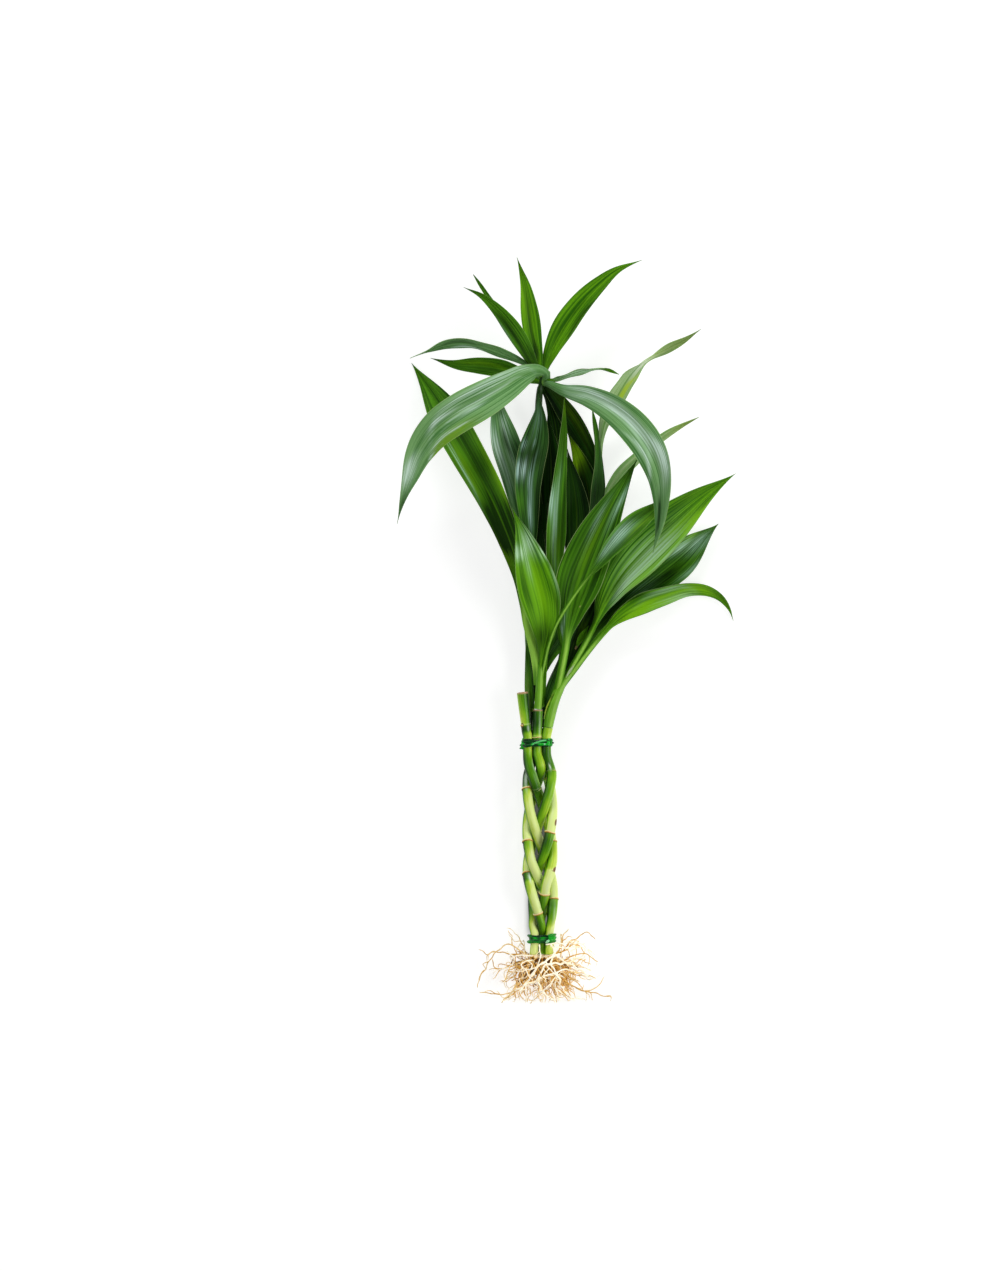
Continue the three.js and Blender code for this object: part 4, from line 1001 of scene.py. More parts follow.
# A stem is a line of (x, y, z, radius), and a stem's shade number darkens it all as painted shade. A
# leaf's points run along its midrib; wide and neck are the widths of its blade and stalk; blade gives
# the shares of its length where the stalk ends and where the blade is widest; turn rolls it about its
# midrib and fold lifts its halves, in degrees; pale_stalk is the share that is pale, from the foot on;
# the spots are like those on the canes: warm ones are a yellow-green, in places its own colour and in
# places painted light; silvery ones are a painted sheen, the shade spots painted shade and dry ones
# dried patches. All sizes are in millimetres.
stems = [
    {"dark": 0.75, "points": [[-8.8, 129.5, 15.8, 1.6], [-7.8, 134.5, 13.2, 1.7], [-7.7, 142, 12.8, 1.7],
        [-8.2, 152, 12.6, 1.6], [-8.1, 164, 12.3, 1.5], [-7.9, 177, 12, 1.4], [-7.8, 188, 11.6, 1.1]]},
    {"dark": 0, "points": [[-1.9, 138.6, 17, 2.4], [-1.3, 146, 17.4, 2.35], [-0.9, 154, 18, 2.25],
        [-0.5, 162, 19, 2], [-0.1, 168, 20.2, 1.5]]},
    {"dark": 0, "points": [[4.35, 127.8, 16.4, 2.8], [5.7, 135, 16.9, 3.1], [7.9, 143, 17.4, 3.1],
        [10.8, 150, 18, 2.9], [14, 155.6, 18.2, 2.4], [17.4, 160, 18.3, 1.8]]},
    {"dark": 1, "points": [[1.35, 127.4, 10.9, 2.2], [3, 140, 10.4, 2.6], [6, 152, 10.4, 2.7],
        [10.5, 163, 10.6, 2.3], [15, 174, 11, 1.8], [19, 188, 11.2, 1.6], [22, 205, 11.6, 1.4],
        [24, 222, 12, 1.1]]},
    {"dark": 1.2, "points": [[-5.4, 126.3, 10.8, 2], [-5.8, 136, 9.6, 1.7], [-6.1, 150, 8.4, 1.7],
        [-6.4, 163, 7.6, 1.7], [-5, 180, 6.8, 1.7], [-1.8, 205, 6.2, 1.7], [1.6, 235, 5.8, 1.7],
        [2.6, 265, 6, 1.7], [0.4, 290, 7.2, 1.8], [-1.4, 308, 10, 1.9], [-1.4, 322, 14.8, 2],
        [-0.6, 331, 18.4, 2.1], [0.6, 338, 21.6, 1.7]]},
]
leaves = [
    {"shoot": 1, "finish": "deep", "wide": 18, "neck": 3, "blade": [0.28, 0.76], "turn": [0, 10, 6, -6],
     "points": [[-7.9, 176, 12], [-8, 192, 13], [-7.2, 215, 14.6], [-6.4, 238, 16.4], [-7.6, 258, 18],
         [-8, 273, 19.4], [-6, 289, 21], [-2.6, 303, 22.6], [-1, 316, 23], [-1.8, 328, 22.6]],
     "warm": [(-13, 262, 7, 2.6, 0.8)],
     "silver": [(-13, 282, 5, 2.6, 1.3), (-9.5, 283, 5, 1, 1), (-6.5, 276, 12, 1.1, 1.1),
         (-6.5, 256, 9, 1.1, 1.4), (-10, 297, 3, 1.4, 0.9), (-4, 298, 3, 0.8, 0.6),
         (-2, 312, 10, 2.4, 0.25)],
     "dark": [(-2, 290, 9, 12, 0.6), (-2, 262, 20, 1.6, 1), (4, 320, 12, 2, 0.6)]},
    {"shoot": 1, "finish": "silver", "wide": 19, "neck": 3, "blade": [0.3, 0.74], "turn": [0, 0, 10, 12],
     "points": [[-7.9, 172, 12], [-8.8, 190, 10.4], [-9.2, 208, 9.4], [-8.8, 226, 9], [-9, 243, 9],
         [-12, 262, 9], [-16.6, 282, 9], [-22, 300, 8.6], [-25.6, 317, 8], [-27.5, 334, 7]],
     "silver": [(-22, 308, 8, 1.8, 1), (-26, 296, 12, 1.6, 0.9), (-18, 292, 12, 2, 0.6),
         (-29, 300, 18, 1.2, 1), (-20, 278, 12, 1.6, 0.6)],
     "dark": [(-14, 293, 11, 4.5, 1.5), (-22, 301, 9, 1.6, 0.9), (-26, 318, 4, 6, 0.7)]},
    {"shoot": 2, "finish": "bright", "wide": 25, "neck": 3.4, "blade": [0.08, 0.5],
     "turn": [0, 6, 4, -14],
     "points": [[-0.6, 160, 19.5], [0.4, 171, 23], [1.8, 184, 27.5], [0.6, 199, 32], [-3, 214, 37],
         [-7.2, 229.5, 42], [-11.6, 245, 46], [-17.4, 259, 48.6]],
     "warm": [(0, 206, 16, 3.4, 0.8), (-5, 222, 12, 2.4, 0.35)],
     "silver": [(-13.5, 232, 4, 3, 1.1), (-8, 238, 7, 3, 0.8), (1.5, 233, 4, 2.4, 1.3),
         (-8, 224, 8, 1.2, 0.35), (8, 217, 8, 1.1, 0.7), (-6, 243, 8, 3, 0.4)],
     "dark": [(-9, 210, 13, 2, 0.35), (1, 182, 10, 9, 0.8), (9.8, 200, 14, 1.6, 0.7)]},
    {"shoot": 2, "finish": "green", "wide": 22.5, "neck": 6.6, "blade": [0.2, 0.77], "turn": [0, 6, 8, 0],
     "pale_stalk": 0.26,
     "points": [[-1.5, 153, 18.4], [-2.4, 164, 19.6], [-4.8, 177, 20.6], [-8, 190, 21.6],
         [-9.8, 202, 22.6], [-12.6, 219, 24.6], [-20, 242, 27], [-30.5, 266, 26], [-43, 289, 20.6],
         [-55.4, 311, 12], [-66.5, 330, 4.4], [-78, 347, 0.5]],
     "warm": [(-27, 284, 24, 3, 1.2), (-21, 268, 12, 3, 0.9), (-47, 285, 20, 2.6, 0.75),
         (-22, 231, 10, 4, 1.1), (-8.6, 188, 16, 2.2, 1.3), (-6, 172, 12, 1.4, 1.3)],
     "silver": [(-27, 294, 16, 1, 0.5), (-50, 288, 14, 0.7, 0.8), (-44, 277, 14, 0.6, 0.7)],
     "dark": [(-22, 248, 18, 14, 2.2), (-38, 285, 26, 3.6, 0.9), (-47, 306, 10, 9, 0.7),
         (-4, 190, 14, 1.8, 1.4)]},
    {"shoot": 2, "finish": "green", "wide": 13.5, "neck": 2.4, "blade": [0.5, 0.78], "turn": [0, 0, 8],
     "pale_stalk": 0.55,
     "points": [[0.2, 157, 18.6], [2, 166, 22], [4.6, 177, 26], [8.8, 188.6, 30], [15.4, 200, 33.5],
         [24.4, 213, 36], [33, 223.6, 37.5], [44, 237.5, 38.5], [55, 249, 38], [66, 257.6, 36.4],
         [77, 266, 34]],
     "warm": [(58, 248, 10, 1.4, 0.8)],
     "silver": [(47, 243, 9, 3, 1), (38, 233, 6, 2, 0.5)],
     "dark": [(62, 256, 8, 3, 0.6)]},
    {"shoot": 3, "finish": "green", "wide": 29, "neck": 5.3, "blade": [0.22, 0.5], "turn": [0, 0, -4, 10],
     "pale_stalk": 0.27,
     "points": [[8.8, 146, 18], [10.4, 153, 20.6], [12.6, 164, 23.4], [14.8, 176, 25.4], [16.2, 189, 27],
         [18.8, 203, 28.4], [23.4, 218, 29.4], [30.6, 236, 30], [39, 254, 29.4], [48, 271, 27],
         [58, 289, 23]],
     "warm": [(30, 238, 20, 3, 0.5)],
     "silver": [(47, 262, 14, 1.4, 0.6), (33, 250, 12, 1.4, 0.5), (12.6, 186, 7, 0.9, 1)],
     "dark": [(16, 208, 14, 6, 0.5), (54, 283, 7, 4, 0.8)],
     "dry": [(23.2, 200.6, 2.6, 0.8, 0.62)]},
    {"shoot": 3, "finish": "bright", "wide": 13.5, "neck": 4.6, "blade": [0.34, 0.54],
     "turn": [0, 10, 30, 20], "pale_stalk": 0.3,
     "points": [[10.5, 149, 17.8], [14, 154.4, 18.2], [19.8, 162, 18.4], [27.6, 172.4, 18.2],
         [37.6, 184.4, 17.8], [48, 194.6, 17.6], [60, 202, 18.2], [74, 207, 18.6], [88, 210.6, 16.6],
         [99, 210, 12.4], [108, 205.6, 7.2], [113.3, 199, 3.4], [116, 191.6, 0.5]],
     "warm": [(70, 203, 18, 3, 1.4), (92, 211, 14, 3, 1), (58, 198, 18, 2.2, 1.6)],
     "silver": [(84, 206, 14, 2, 0.6), (75, 210, 14, 1.4, 0.5)],
     "dark": [(57, 206, 9, 1.8, 1), (110, 205, 8, 3, 0.4), (12, 151, 6, 2.8, 0.9)]},
    {"shoot": 3, "finish": "green", "wide": 24, "neck": 3.4, "blade": [0.16, 0.73], "turn": [0, 0, 6, 0],
     "pale_stalk": 0.1,
     "points": [[11, 149.5, 16.6], [16, 159.5, 14.6], [23, 171, 13.2], [30.6, 182.6, 12.2],
         [41, 194, 11.6], [54, 206, 11.4], [68, 217, 10.6], [84, 229.5, 9], [96, 240.5, 7],
         [107, 250, 4.8]],
     "warm": [(91, 243, 9, 1.3, 1.6)],
     "silver": [(60, 209, 10, 2.6, 0.8), (95, 238, 8, 3, 0.9), (84, 236, 8, 1.8, 0.9),
         (92, 223, 12, 1.6, 0.6)],
     "dark": [(66, 213, 14, 5, 0.8), (40, 200, 16, 8, 1.6), (78, 220, 9, 3, 0.8)]},
    {"shoot": 3, "finish": "painted_shadow", "wide": 12, "neck": 3.6, "blade": [0.1, 0.5],
     "points": [[11.5, 152, 15.8], [15.4, 165, 15.4], [19.6, 178, 15], [24.6, 190, 14.8],
         [30.6, 202, 14.8], [37, 213, 15], [43.6, 223, 15.4]],
     "warm": [(24, 184, 8, 1.4, 0.4)]},
    {"shoot": 3, "finish": "bright", "wide": 30, "neck": 4, "blade": [0.26, 0.58], "turn": [0, 0, 2, 0],
     "fold": 16, "pale_stalk": 0.24,
     "points": [[11, 150, 18.4], [15.6, 159, 19.4], [21.6, 169.2, 19.8], [28.2, 181, 20.2],
         [33.6, 192.4, 20.6], [38, 203.4, 21.2], [47.4, 219.4, 22.4], [61.6, 235.6, 23.4],
         [78, 250.4, 23], [97, 266.4, 20], [117, 280, 15.5]],
     "warm": [(62, 226, 20, 5, 1.2), (80, 244, 18, 4, 1.1), (95, 254, 11, 3, 1.1)],
     "silver": [(80, 232, 20, 3, 0.9), (60, 229, 24, 7, 0.5), (50, 213, 18, 2.4, 0.6),
         (72, 236, 12, 3, 0.6)],
     "dark": [(92, 270, 22, 3, 0.6), (74, 248, 7, 1.8, 0.7), (44, 229, 6, 3, 0.5)]},
    {"shoot": 4, "finish": "green", "wide": 13, "neck": 3.6, "blade": [0.2, 0.58],
     "turn": [0, 10, 34, 45],
     "points": [[9.6, 160, 11], [12.4, 172, 13.6], [10.8, 190, 16], [8.8, 208, 18.4], [8, 226, 20.4],
         [8.6, 244, 21.2], [9.2, 260, 21.4], [10.4, 275, 21], [12, 290, 20.4], [13.4, 307, 20.2],
         [14, 325, 20.4]],
     "warm": [(8, 236, 12, 2.4, 0.8), (14.2, 320, 6, 1.5, 0.9)],
     "silver": [(5.6, 264, 8, 1.4, 1.5), (8, 252, 22, 1.4, 0.8)],
     "dark": [(12.6, 250, 28, 1.1, 0.8), (13, 300, 16, 3, 0.5)]},
    {"shoot": 4, "finish": "painted_shadow", "wide": 17, "neck": 4, "blade": [0.1, 0.56], "turn": [0, 8, 6],
     "points": [[20, 196, 11.8], [20.5, 212, 14], [21, 228, 15.6], [21.3, 243, 16], [21.3, 256, 16],
         [20.2, 269, 15.8], [18, 282, 15.2], [15.8, 295, 14.6]]},
    {"shoot": 4, "finish": "painted_shadow", "wide": 15, "neck": 3, "blade": [0.2, 0.6], "turn": [0, 4, -6],
     "points": [[22.2, 208, 11.8], [25.5, 224, 12.2], [28.3, 240, 12], [29.6, 254, 11.8],
         [28.6, 268, 11.6], [25.5, 281, 11.8], [21, 294, 12.8], [15.4, 305.6, 14]],
     "warm": [(18.6, 292, 8, 5, 2.4)]},
    {"shoot": 4, "finish": "deep", "wide": 10, "neck": 2.6, "blade": [0.2, 0.5], "turn": [0, 40, 50],
     "points": [[23.6, 219, 12], [26.5, 236, 14], [30, 250, 16], [32.8, 264, 17.4], [34, 278, 18],
         [33.8, 292, 18], [32.6, 306, 17.6], [30.6, 320, 16.8]],
     "warm": [(32.6, 305, 18, 1.1, 0.9)],
     "dark": [(34, 268, 12, 6, 0.8)]},
    {"shoot": 4, "finish": "pale", "wide": 13, "neck": 3.2, "blade": [0.46, 0.7],
     "turn": [0, 0, 0, 0, 0, 0, 10, 40, 84, 40, 20],
     "points": [[23.4, 215, 11.6], [28, 240, 9.8], [32.6, 262, 9.6], [35, 282, 10.2], [36, 298, 11.6],
         [38.2, 311, 14], [44.4, 324.5, 18], [52, 337.5, 21], [59.4, 345.6, 23], [66.5, 350.4, 24],
         [76, 355.3, 24], [86, 360, 23], [96, 366.5, 21]],
     "warm": [(49, 328, 13, 1.3, 1.8), (66, 350, 8, 1.5, 0.5), (86, 360, 16, 4, 0.5)],
     "silver": [(60, 345, 10, 2, 0.5)],
     "dark": [(88, 361, 15, 4, 0.6)]},
    {"shoot": 4, "finish": "pale", "wide": 9, "neck": 3, "blade": [0.3, 0.6], "turn": [0, 20, 36, 30],
     "points": [[24, 219, 11.4], [30, 240, 8.8], [35.5, 257, 8.4], [41, 270, 8.8], [48, 280.5, 9.6],
         [56, 288.8, 10.2], [65, 296.4, 10.2], [75, 303.6, 9.6], [85, 309.2, 8.6], [95, 314, 7.2]],
     "warm": [(88, 311, 12, 3, 0.8)],
     "dark": [(48, 281, 12, 1.4, 0.4), (90, 312, 11, 3, 0.6)]},
    {"shoot": 5, "finish": "silver", "wide": 24, "neck": 7, "blade": [0.04, 0.46],
     "turn": [0, -6, -10, -16, -24], "fold": 12,
     "points": [[0.4, 334.5, 20.4], [2.8, 338.6, 25], [-2, 341, 31], [-10, 338.2, 38], [-21, 331.5, 44],
         [-35, 323.4, 48], [-50, 315, 49], [-63.4, 305, 46], [-73, 292, 41], [-79, 276, 36],
         [-83.4, 262, 32], [-86.2, 249.4, 29]],
     "warm": [(-51, 304, 15, 2.6, 1.7), (-61, 294.5, 9, 2.4, 1.5)],
     "silver": [(-79, 281, 9, 3, 1.3), (-45, 326, 30, 1.4, 0.7), (-60, 312, 10, 1.2, 0.8),
         (-42, 317, 8, 1, 0.9), (-25, 335, 18, 1.6, 0.5), (-60, 300, 22, 0.8, 0.9),
         (-38, 322, 22, 0.7, 0.9)],
     "dark": [(-83, 260, 8, 2, 0.9)],
     "dry": [(-33, 320, 1.4, 0.6, 0.7)]},
    {"shoot": 5, "finish": "silver", "wide": 20.5, "neck": 5, "blade": [0.03, 0.5],
     "turn": [0, 6, 8, 24, 40], "fold": 14,
     "points": [[0.6, 335, 20.6], [5, 333.4, 25], [13, 329.6, 30], [28, 325.6, 36], [42, 318.4, 41],
         [55, 307.4, 45], [65.4, 293, 46.5], [70.8, 278, 45], [72, 262, 42], [70.6, 247, 39],
         [66.8, 232, 36]],
     "silver": [(72, 290, 13, 2.6, 1.4), (42, 321, 24, 2.6, 0.7), (56, 309, 18, 2, 0.7),
         (28, 329, 14, 1.6, 0.8), (62, 290, 16, 1, 0.7)],
     "dark": [(71, 258, 10, 1.2, 0.9), (69.5, 248, 14, 0.9, 1.2), (77, 283, 8, 0.8, 0.5)]},
    {"shoot": 5, "finish": "green", "wide": 11.5, "neck": 4.4, "blade": [0.02, 0.42], "turn": [0, -10, 0],
     "points": [[0.2, 335, 20.2], [-6, 336.4, 20.8], [-14, 339.6, 21.8], [-25, 343, 23], [-38, 344.6, 24],
         [-52, 345.2, 24], [-66.5, 349, 22]],
     "warm": [(-35, 346, 14, 1.1, 0.8)],
     "silver": [(-15, 346, 5, 1, 0.5)],
     "dark": [(-26, 341, 20, 1.4, 0.5)]},
    {"shoot": 5, "finish": "silver", "wide": 10.5, "neck": 3, "blade": [0.1, 0.58],
     "turn": [0, -50, -60, -50],
     "points": [[0, 336.5, 21], [-7, 343.6, 23], [-15, 348.2, 25], [-24, 352.6, 27], [-35, 356.6, 29],
         [-46, 358.6, 30], [-57, 357.6, 29], [-68, 353.2, 27], [-78.6, 348.8, 25]],
     "silver": [(-45, 356, 16, 0.7, 0.7)],
     "dark": [(-50, 359, 16, 1.2, 0.6)]},
    {"shoot": 5, "finish": "green", "wide": 10.5, "neck": 4, "blade": [0.05, 0.42], "turn": [0, 6, 0],
     "points": [[0.2, 337, 21.4], [-5, 346, 26], [-11, 356.5, 31], [-18.4, 367.5, 35], [-26.6, 377.4, 38],
         [-36, 385.6, 40], [-46.5, 390.6, 41]],
     "silver": [(-25, 368, 16, 0.9, 0.6)],
     "dark": [(-18, 365, 20, 1.6, 1), (-6, 349, 7, 5, 0.7)]},
    {"shoot": 5, "finish": "green", "wide": 7, "neck": 3, "blade": [0.1, 0.5], "turn": [0, 30, 40],
     "points": [[0, 336.6, 20.6], [-8, 350, 22], [-17, 363, 23], [-26, 376.5, 24], [-33.5, 388, 24],
         [-40.6, 399, 23.5]]},
    {"shoot": 5, "finish": "bright", "wide": 11.5, "neck": 4, "blade": [0.05, 0.46], "turn": [0, 6, 0],
     "points": [[0.4, 337, 21.6], [-2.2, 350, 26], [-5, 363, 30.5], [-7.2, 377, 35], [-9.4, 391, 39.5],
         [-12.2, 401, 42], [-14.6, 408.6, 43.5]],
     "warm": [(-10.5, 383, 18, 1.6, 1)],
     "dark": [(-6.5, 368, 18, 1.1, 1), (-4, 352, 7, 3, 1)]},
    {"shoot": 5, "finish": "bright", "wide": 14.5, "neck": 4.4, "blade": [0.03, 0.4], "turn": [0, -8, -4],
     "points": [[0.8, 337, 21.6], [3.6, 347, 24], [8.6, 358.5, 27], [15.6, 370.4, 30], [24.4, 382, 33],
         [34.4, 392.2, 35], [45.4, 401, 36], [60.6, 407.2, 36]],
     "silver": [(20, 361, 26, 1.8, 0.35)],
     "dark": [(24, 374, 26, 0.9, 0.9), (12, 366, 22, 1, 0.5), (3, 346, 6, 4, 0.5)]},
    {"shoot": 5, "finish": "bright", "wide": 7, "neck": 2.2, "blade": [0.1, 0.5], "turn": [0, 70, 72],
     "points": [[0.8, 336.4, 21.2], [7.5, 335.6, 24], [14, 338, 27], [22, 340.8, 29.5], [30, 342.2, 31],
         [38, 342.4, 31], [46.6, 339, 29]],
     "silver": [(22, 341, 14, 2.6, 1.2)],
     "dark": [(8, 337, 6, 2, 0.5)]},
    {"shoot": 5, "finish": "painted_shadow", "wide": 12.5, "neck": 5, "blade": [0, 0.4],
     "points": [[0.8, 334.6, 20], [6, 329, 16.5], [12, 321, 13], [18, 312.3, 10.8], [24.4, 302, 9.2],
         [30.2, 291, 7.4], [34.6, 280, 5.4], [38, 269.5, 3.6]],
     "warm": [(20, 314, 14, 2, 0.35)]},
    {"shoot": 5, "finish": "painted_shadow", "wide": 13, "neck": 4, "blade": [0.05, 0.55],
     "points": [[0, 333, 19], [3.4, 327, 15.6], [6.6, 318, 11.8], [9, 307, 8.6], [9.8, 295, 6.4],
         [9, 282, 5], [7.6, 268, 4.2], [6, 254, 3.6], [4.6, 241, 3.2], [3.8, 230, 3]]},
]
# narrow young leaves and dark ones that fill the crowd between the stalks; the near-black ones are painted
# shadow
fill_leaves = [
    {"finish": "deep", "wide": 6.5, "neck": 3, "blade": [0.1, 0.6],
     "points": [[0.4, 151, 13], [2, 161, 13.5], [5.6, 168.6, 13.8], [11, 176.6, 14], [17, 185, 14.2],
         [24, 195, 14.4], [31, 206, 14.6]],
     "warm": [(8, 169, 12, 1.6, 1.2)]},
    {"finish": "deep", "wide": 10, "neck": 5, "blade": [0.1, 0.6],
     "points": [[2.6, 163, 9.5], [6.5, 176, 10], [10.5, 190, 10.4], [14.5, 206, 10.8], [18, 224, 11]],
     "warm": [(7, 182, 12, 1.4, 1)]},
    {"finish": "painted_shadow", "wide": 13, "neck": 4, "blade": [0.1, 0.6],
     "points": [[-4, 143, 11], [-4, 158, 11.4], [-3.6, 176, 11], [-3, 196, 11], [-2, 218, 11],
         [-1, 240, 11], [-0.5, 258, 11]]},
    {"finish": "deep", "wide": 3, "neck": 2.4, "blade": [0.1, 0.6],
     "points": [[-4.9, 137, 13], [-5.4, 148, 13.6], [-6.6, 160, 14], [-7.8, 172, 14.2],
         [-8.4, 184, 14.2]],
     "warm": [(-6.6, 155, 20, 1, 1)]},
    {"finish": "bright", "wide": 4, "neck": 1, "blade": [0.05, 0.5],
     "points": [[20.5, 174.5, 16.4], [22.6, 178.6, 16.8], [25.4, 183.4, 17], [28.6, 188.6, 17.2]],
     "dry": [(20.6, 174.8, 2, 2, 1.2)]},
    {"finish": "green", "wide": 8, "neck": 3, "blade": [0.1, 0.5],
     "points": [[17, 168, 12], [19, 180, 12.6], [22, 192, 13], [26, 206, 13.4]]},
    {"finish": "painted_shadow", "wide": 14, "neck": 8, "blade": [0.1, 0.5],
     "points": [[5.5, 245, 10], [6, 268, 10.4], [6, 292, 10.8], [4, 316, 11]]},
    {"finish": "painted_shadow", "wide": 8, "neck": 5, "blade": [0.1, 0.5],
     "points": [[-0.8, 226, 9.6], [-0.4, 246, 10], [0.2, 266, 10.2], [0.4, 288, 10.4]]},
    {"finish": "deep", "wide": 6, "neck": 3.4, "blade": [0.05, 0.55],
     "points": [[2.2, 136, 14], [3.6, 143, 14.8], [5.6, 150, 15.6], [8, 157, 16], [10.6, 164, 16]],
     "warm": [(6.6, 147, 8, 1, 0.8)],
     "dry": [(2.6, 152.4, 4, 0.9, 0.9)]},
    {"finish": "pale", "wide": 1.5, "neck": 0.8, "blade": [0.05, 0.5],
     "points": [[14.9, 157.4, 21], [16.4, 160, 21.4], [18.2, 162.8, 21.6], [20, 165.4, 21.6]],
     "warm": [(17.4, 161.4, 8, 4, 0.6)],
     "silver": [(17.4, 161.4, 8, 4, 0.6)]},
    {"finish": "pale", "wide": 0.9, "neck": 0.5, "blade": [0.05, 0.5],
     "points": [[1.9, 132.6, 18], [2.9, 138, 18.9], [5.1, 143.6, 19.9], [7.7, 148.4, 20.4]],
     "warm": [(4, 140, 12, 4, 1.5)]},
    {"finish": "bright", "wide": 2.8, "neck": 2.4, "blade": [0.1, 0.5],
     "points": [[1.1, 140, 16.8], [1.7, 150, 17.6], [2.1, 160, 18.6], [3.2, 169, 19.6], [5.6, 177, 20.6]],
     "dark": [(2.4, 146, 10, 3, 0.9)]},
]


def leaf_width(leaf, t):
    """How wide a leaf is at the share t of its length."""
    start, widest = leaf["blade"]
    opening = np.clip((t - start) / (widest - start), 0, 1)
    opened = leaf["neck"] + (leaf["wide"] - leaf["neck"]) * np.sin(opening * math.pi / 2) ** 1.4
    closing = np.clip((t - widest) / (1 - widest), 0, 1)
    closed = tip_width + (leaf["wide"] - tip_width) * np.cos(closing * math.pi / 2) ** 1.35
    return np.where(t <= widest, opened, closed)


def value_along(values, t):
    """A value that goes smoothly from each of the given ones to the next."""
    place = np.asarray(t) * (len(values) - 1)
    i = np.minimum(len(values) - 2, np.floor(place)).astype(int)
    values = np.array(values, float)
    return lerp(values[i], values[i + 1], smoothstep(place - i, 0, 1))


def leaf_form(leaf, seed):
    """A leaf: a folded and rippled grid, closed by the same grid under it."""
    line = smooth_curve(leaf["points"])
    length = line_length(line)
    start, widest = leaf["blade"]
    columns = 12 if leaf["wide"] < narrow_leaf else 20
    names = ("mm", "seed", "pale", "warm", "silver", "dark", "dry")
    form, layers = new_grid(columns, int(length / grid_step), names)
    through = {}

    def shape(across, along):
        centre, heading = places_along(line, along)
        up = square_to(heading, (0, 0, 1))[0]
        turn = np.radians(value_along(leaf.get("turn", [0, 0]), along))
        up = rolled(up, np.cross(heading, up), turn)[0]
        side = np.cross(heading, up)
        opened = smoothstep(along, start, 0.5 * (start + widest))
        fold = np.radians(lerp(stalk_fold, leaf.get("fold", blade_fold), opened))
        half = leaf_width(leaf, along) / 2
        soft = lerp(0.5, 0.05, opened)
        valley = (np.sqrt(across**2 + soft**2) - soft) / (np.sqrt(1 + soft**2) - soft)
        arch = 0.07 * half * opened * np.sin(math.pi * np.abs(across))
        pleats = 0.05 * opened * np.cos(across * math.pi * 7) * smoothstep(half, 2, 6)
        ripple = 0.7 * across * np.abs(across) * np.sin(5 * math.pi * along) * opened
        edge = 0.12 * opened * across**4 * np.sin(along * length / 3.1 + 2 * across + seed)
        lift = half * valley * np.sin(fold) + arch + pleats + ripple + edge
        placed = centre + column(half * across * np.cos(fold)) * side + column(lift) * up
        thick = lerp(1.25 - 0.9 * across**2, blade_thickness * (1 - 0.55 * across**4), opened)
        thick = thick + rib_thickness * hump(across * half, 0.9) * opened * (1 - along)
        for a, b, outward, depth in zip(across, along, up, thick):
            through[(a, b)] = Vector(outward) * float(depth) * MM
        pale = leaf.get("pale_stalk", 0)
        numbers = {"mm": along * length, "seed": seed, "pale": 1 - smoothstep(along, 0.7 * pale, pale + 0.02)}
        for kind in ("warm", "silver", "dark", "dry"):
            numbers[kind] = marked(leaf.get(kind, []), placed, heading)
        placed = placed + up * column(thick / 2)
        placed[:, 2] = np.minimum(placed[:, 2], highest_z)
        return placed, numbers

    shape_grid(form, layers, shape)
    made = bmesh.ops.extrude_face_region(form, geom=list(form.faces), use_keep_orig=True)
    for point in made["geom"]:
        if isinstance(point, bmesh.types.BMVert):
            point.co -= through[(point[layers["across"]], point[layers["along"]])]
    bmesh.ops.recalc_face_normals(form, faces=form.faces)
    return form


def leaf_finish(name, deep, fresh, glow, silver):
    finish = Finish(name)
    across = finish.number("across")
    mm = finish.number("mm")
    seed = finish.number("seed")
    bands = finish.noise(finish.vector(across * 6, mm * 0.006, seed), detail=2, roughness=0.6)
    veins = finish.noise(finish.vector(across * 15, mm * 0.010, seed + 20), detail=2, roughness=0.6)
    clouds = finish.noise(finish.vector(across * 1.4, mm * 0.03, seed + 50), detail=1)
    tone = (bands - 0.5) * 3.0 + (veins - 0.5) * 2.6 + (clouds - 0.5) * 1.2 + 0.5
    colour = finish.mix(tone.clamp(), deep, fresh)
    # warm spots: a yellow-green that is in places the leaf's own colour and in places painted light on a lit
    # patch
    colour = finish.mix((finish.number("warm") * (bands * 2.6 - 0.5)).clamp(), colour, glow)
    # painted sheen: silvery streaks laid into the colour where the glossy blade would catch the light
    shine = (finish.number("silver") * (veins * 5 - 1.75)).clamp()
    colour = finish.mix(shine, colour, silver)
    # painted shade: darker patches where other leaves would shade the blade
    shade = (finish.number("dark") * (bands * 3 - 0.75)).clamp()
    colour = finish.mix(shade, colour, tuple(0.3 * part for part in deep))
    off_rib = abs(across)
    rib = (1 - off_rib.rise(0.015, 0.06)) * (1 - finish.number("along").rise(0.5, 1.0))
    colour = finish.mix(rib * 0.14, colour, glow)
    colour = finish.mix(off_rib.rise(0.965, 0.99) * 0.5, colour, (0.42, 0.55, 0.22))
    # painted light and shade on the stalks: a lit stripe near the middle, dark at the sides, lighter under
    # the warm spots and darker under the shade spots
    stalk = (finish.number("pale") * (0.55 + veins * 0.8)).clamp()
    lit = (1 - abs(across - 0.2).rise(0.15, 0.8) + finish.number("warm") - finish.number("dark")).clamp()
    colour = finish.mix(stalk, colour, finish.mix(lit, (0.07, 0.26, 0.005), (0.34, 0.67, 0.08)))
    dry = (finish.number("dry") + (veins - 0.5) * 0.5).rise(0.35, 0.65)
    return finish.done(
        Base_Color=finish.mix(dry, colour, (0.50, 0.36, 0.17)),
        Roughness=0.40 + veins * 0.14,
        Specular_IOR_Level=0.07,
        Coat_Weight=shine * 0.35,
        Coat_Roughness=0.25,
        Normal=finish.bump(bands * 0.4 + veins * 0.6, 0.0012, 0.75))


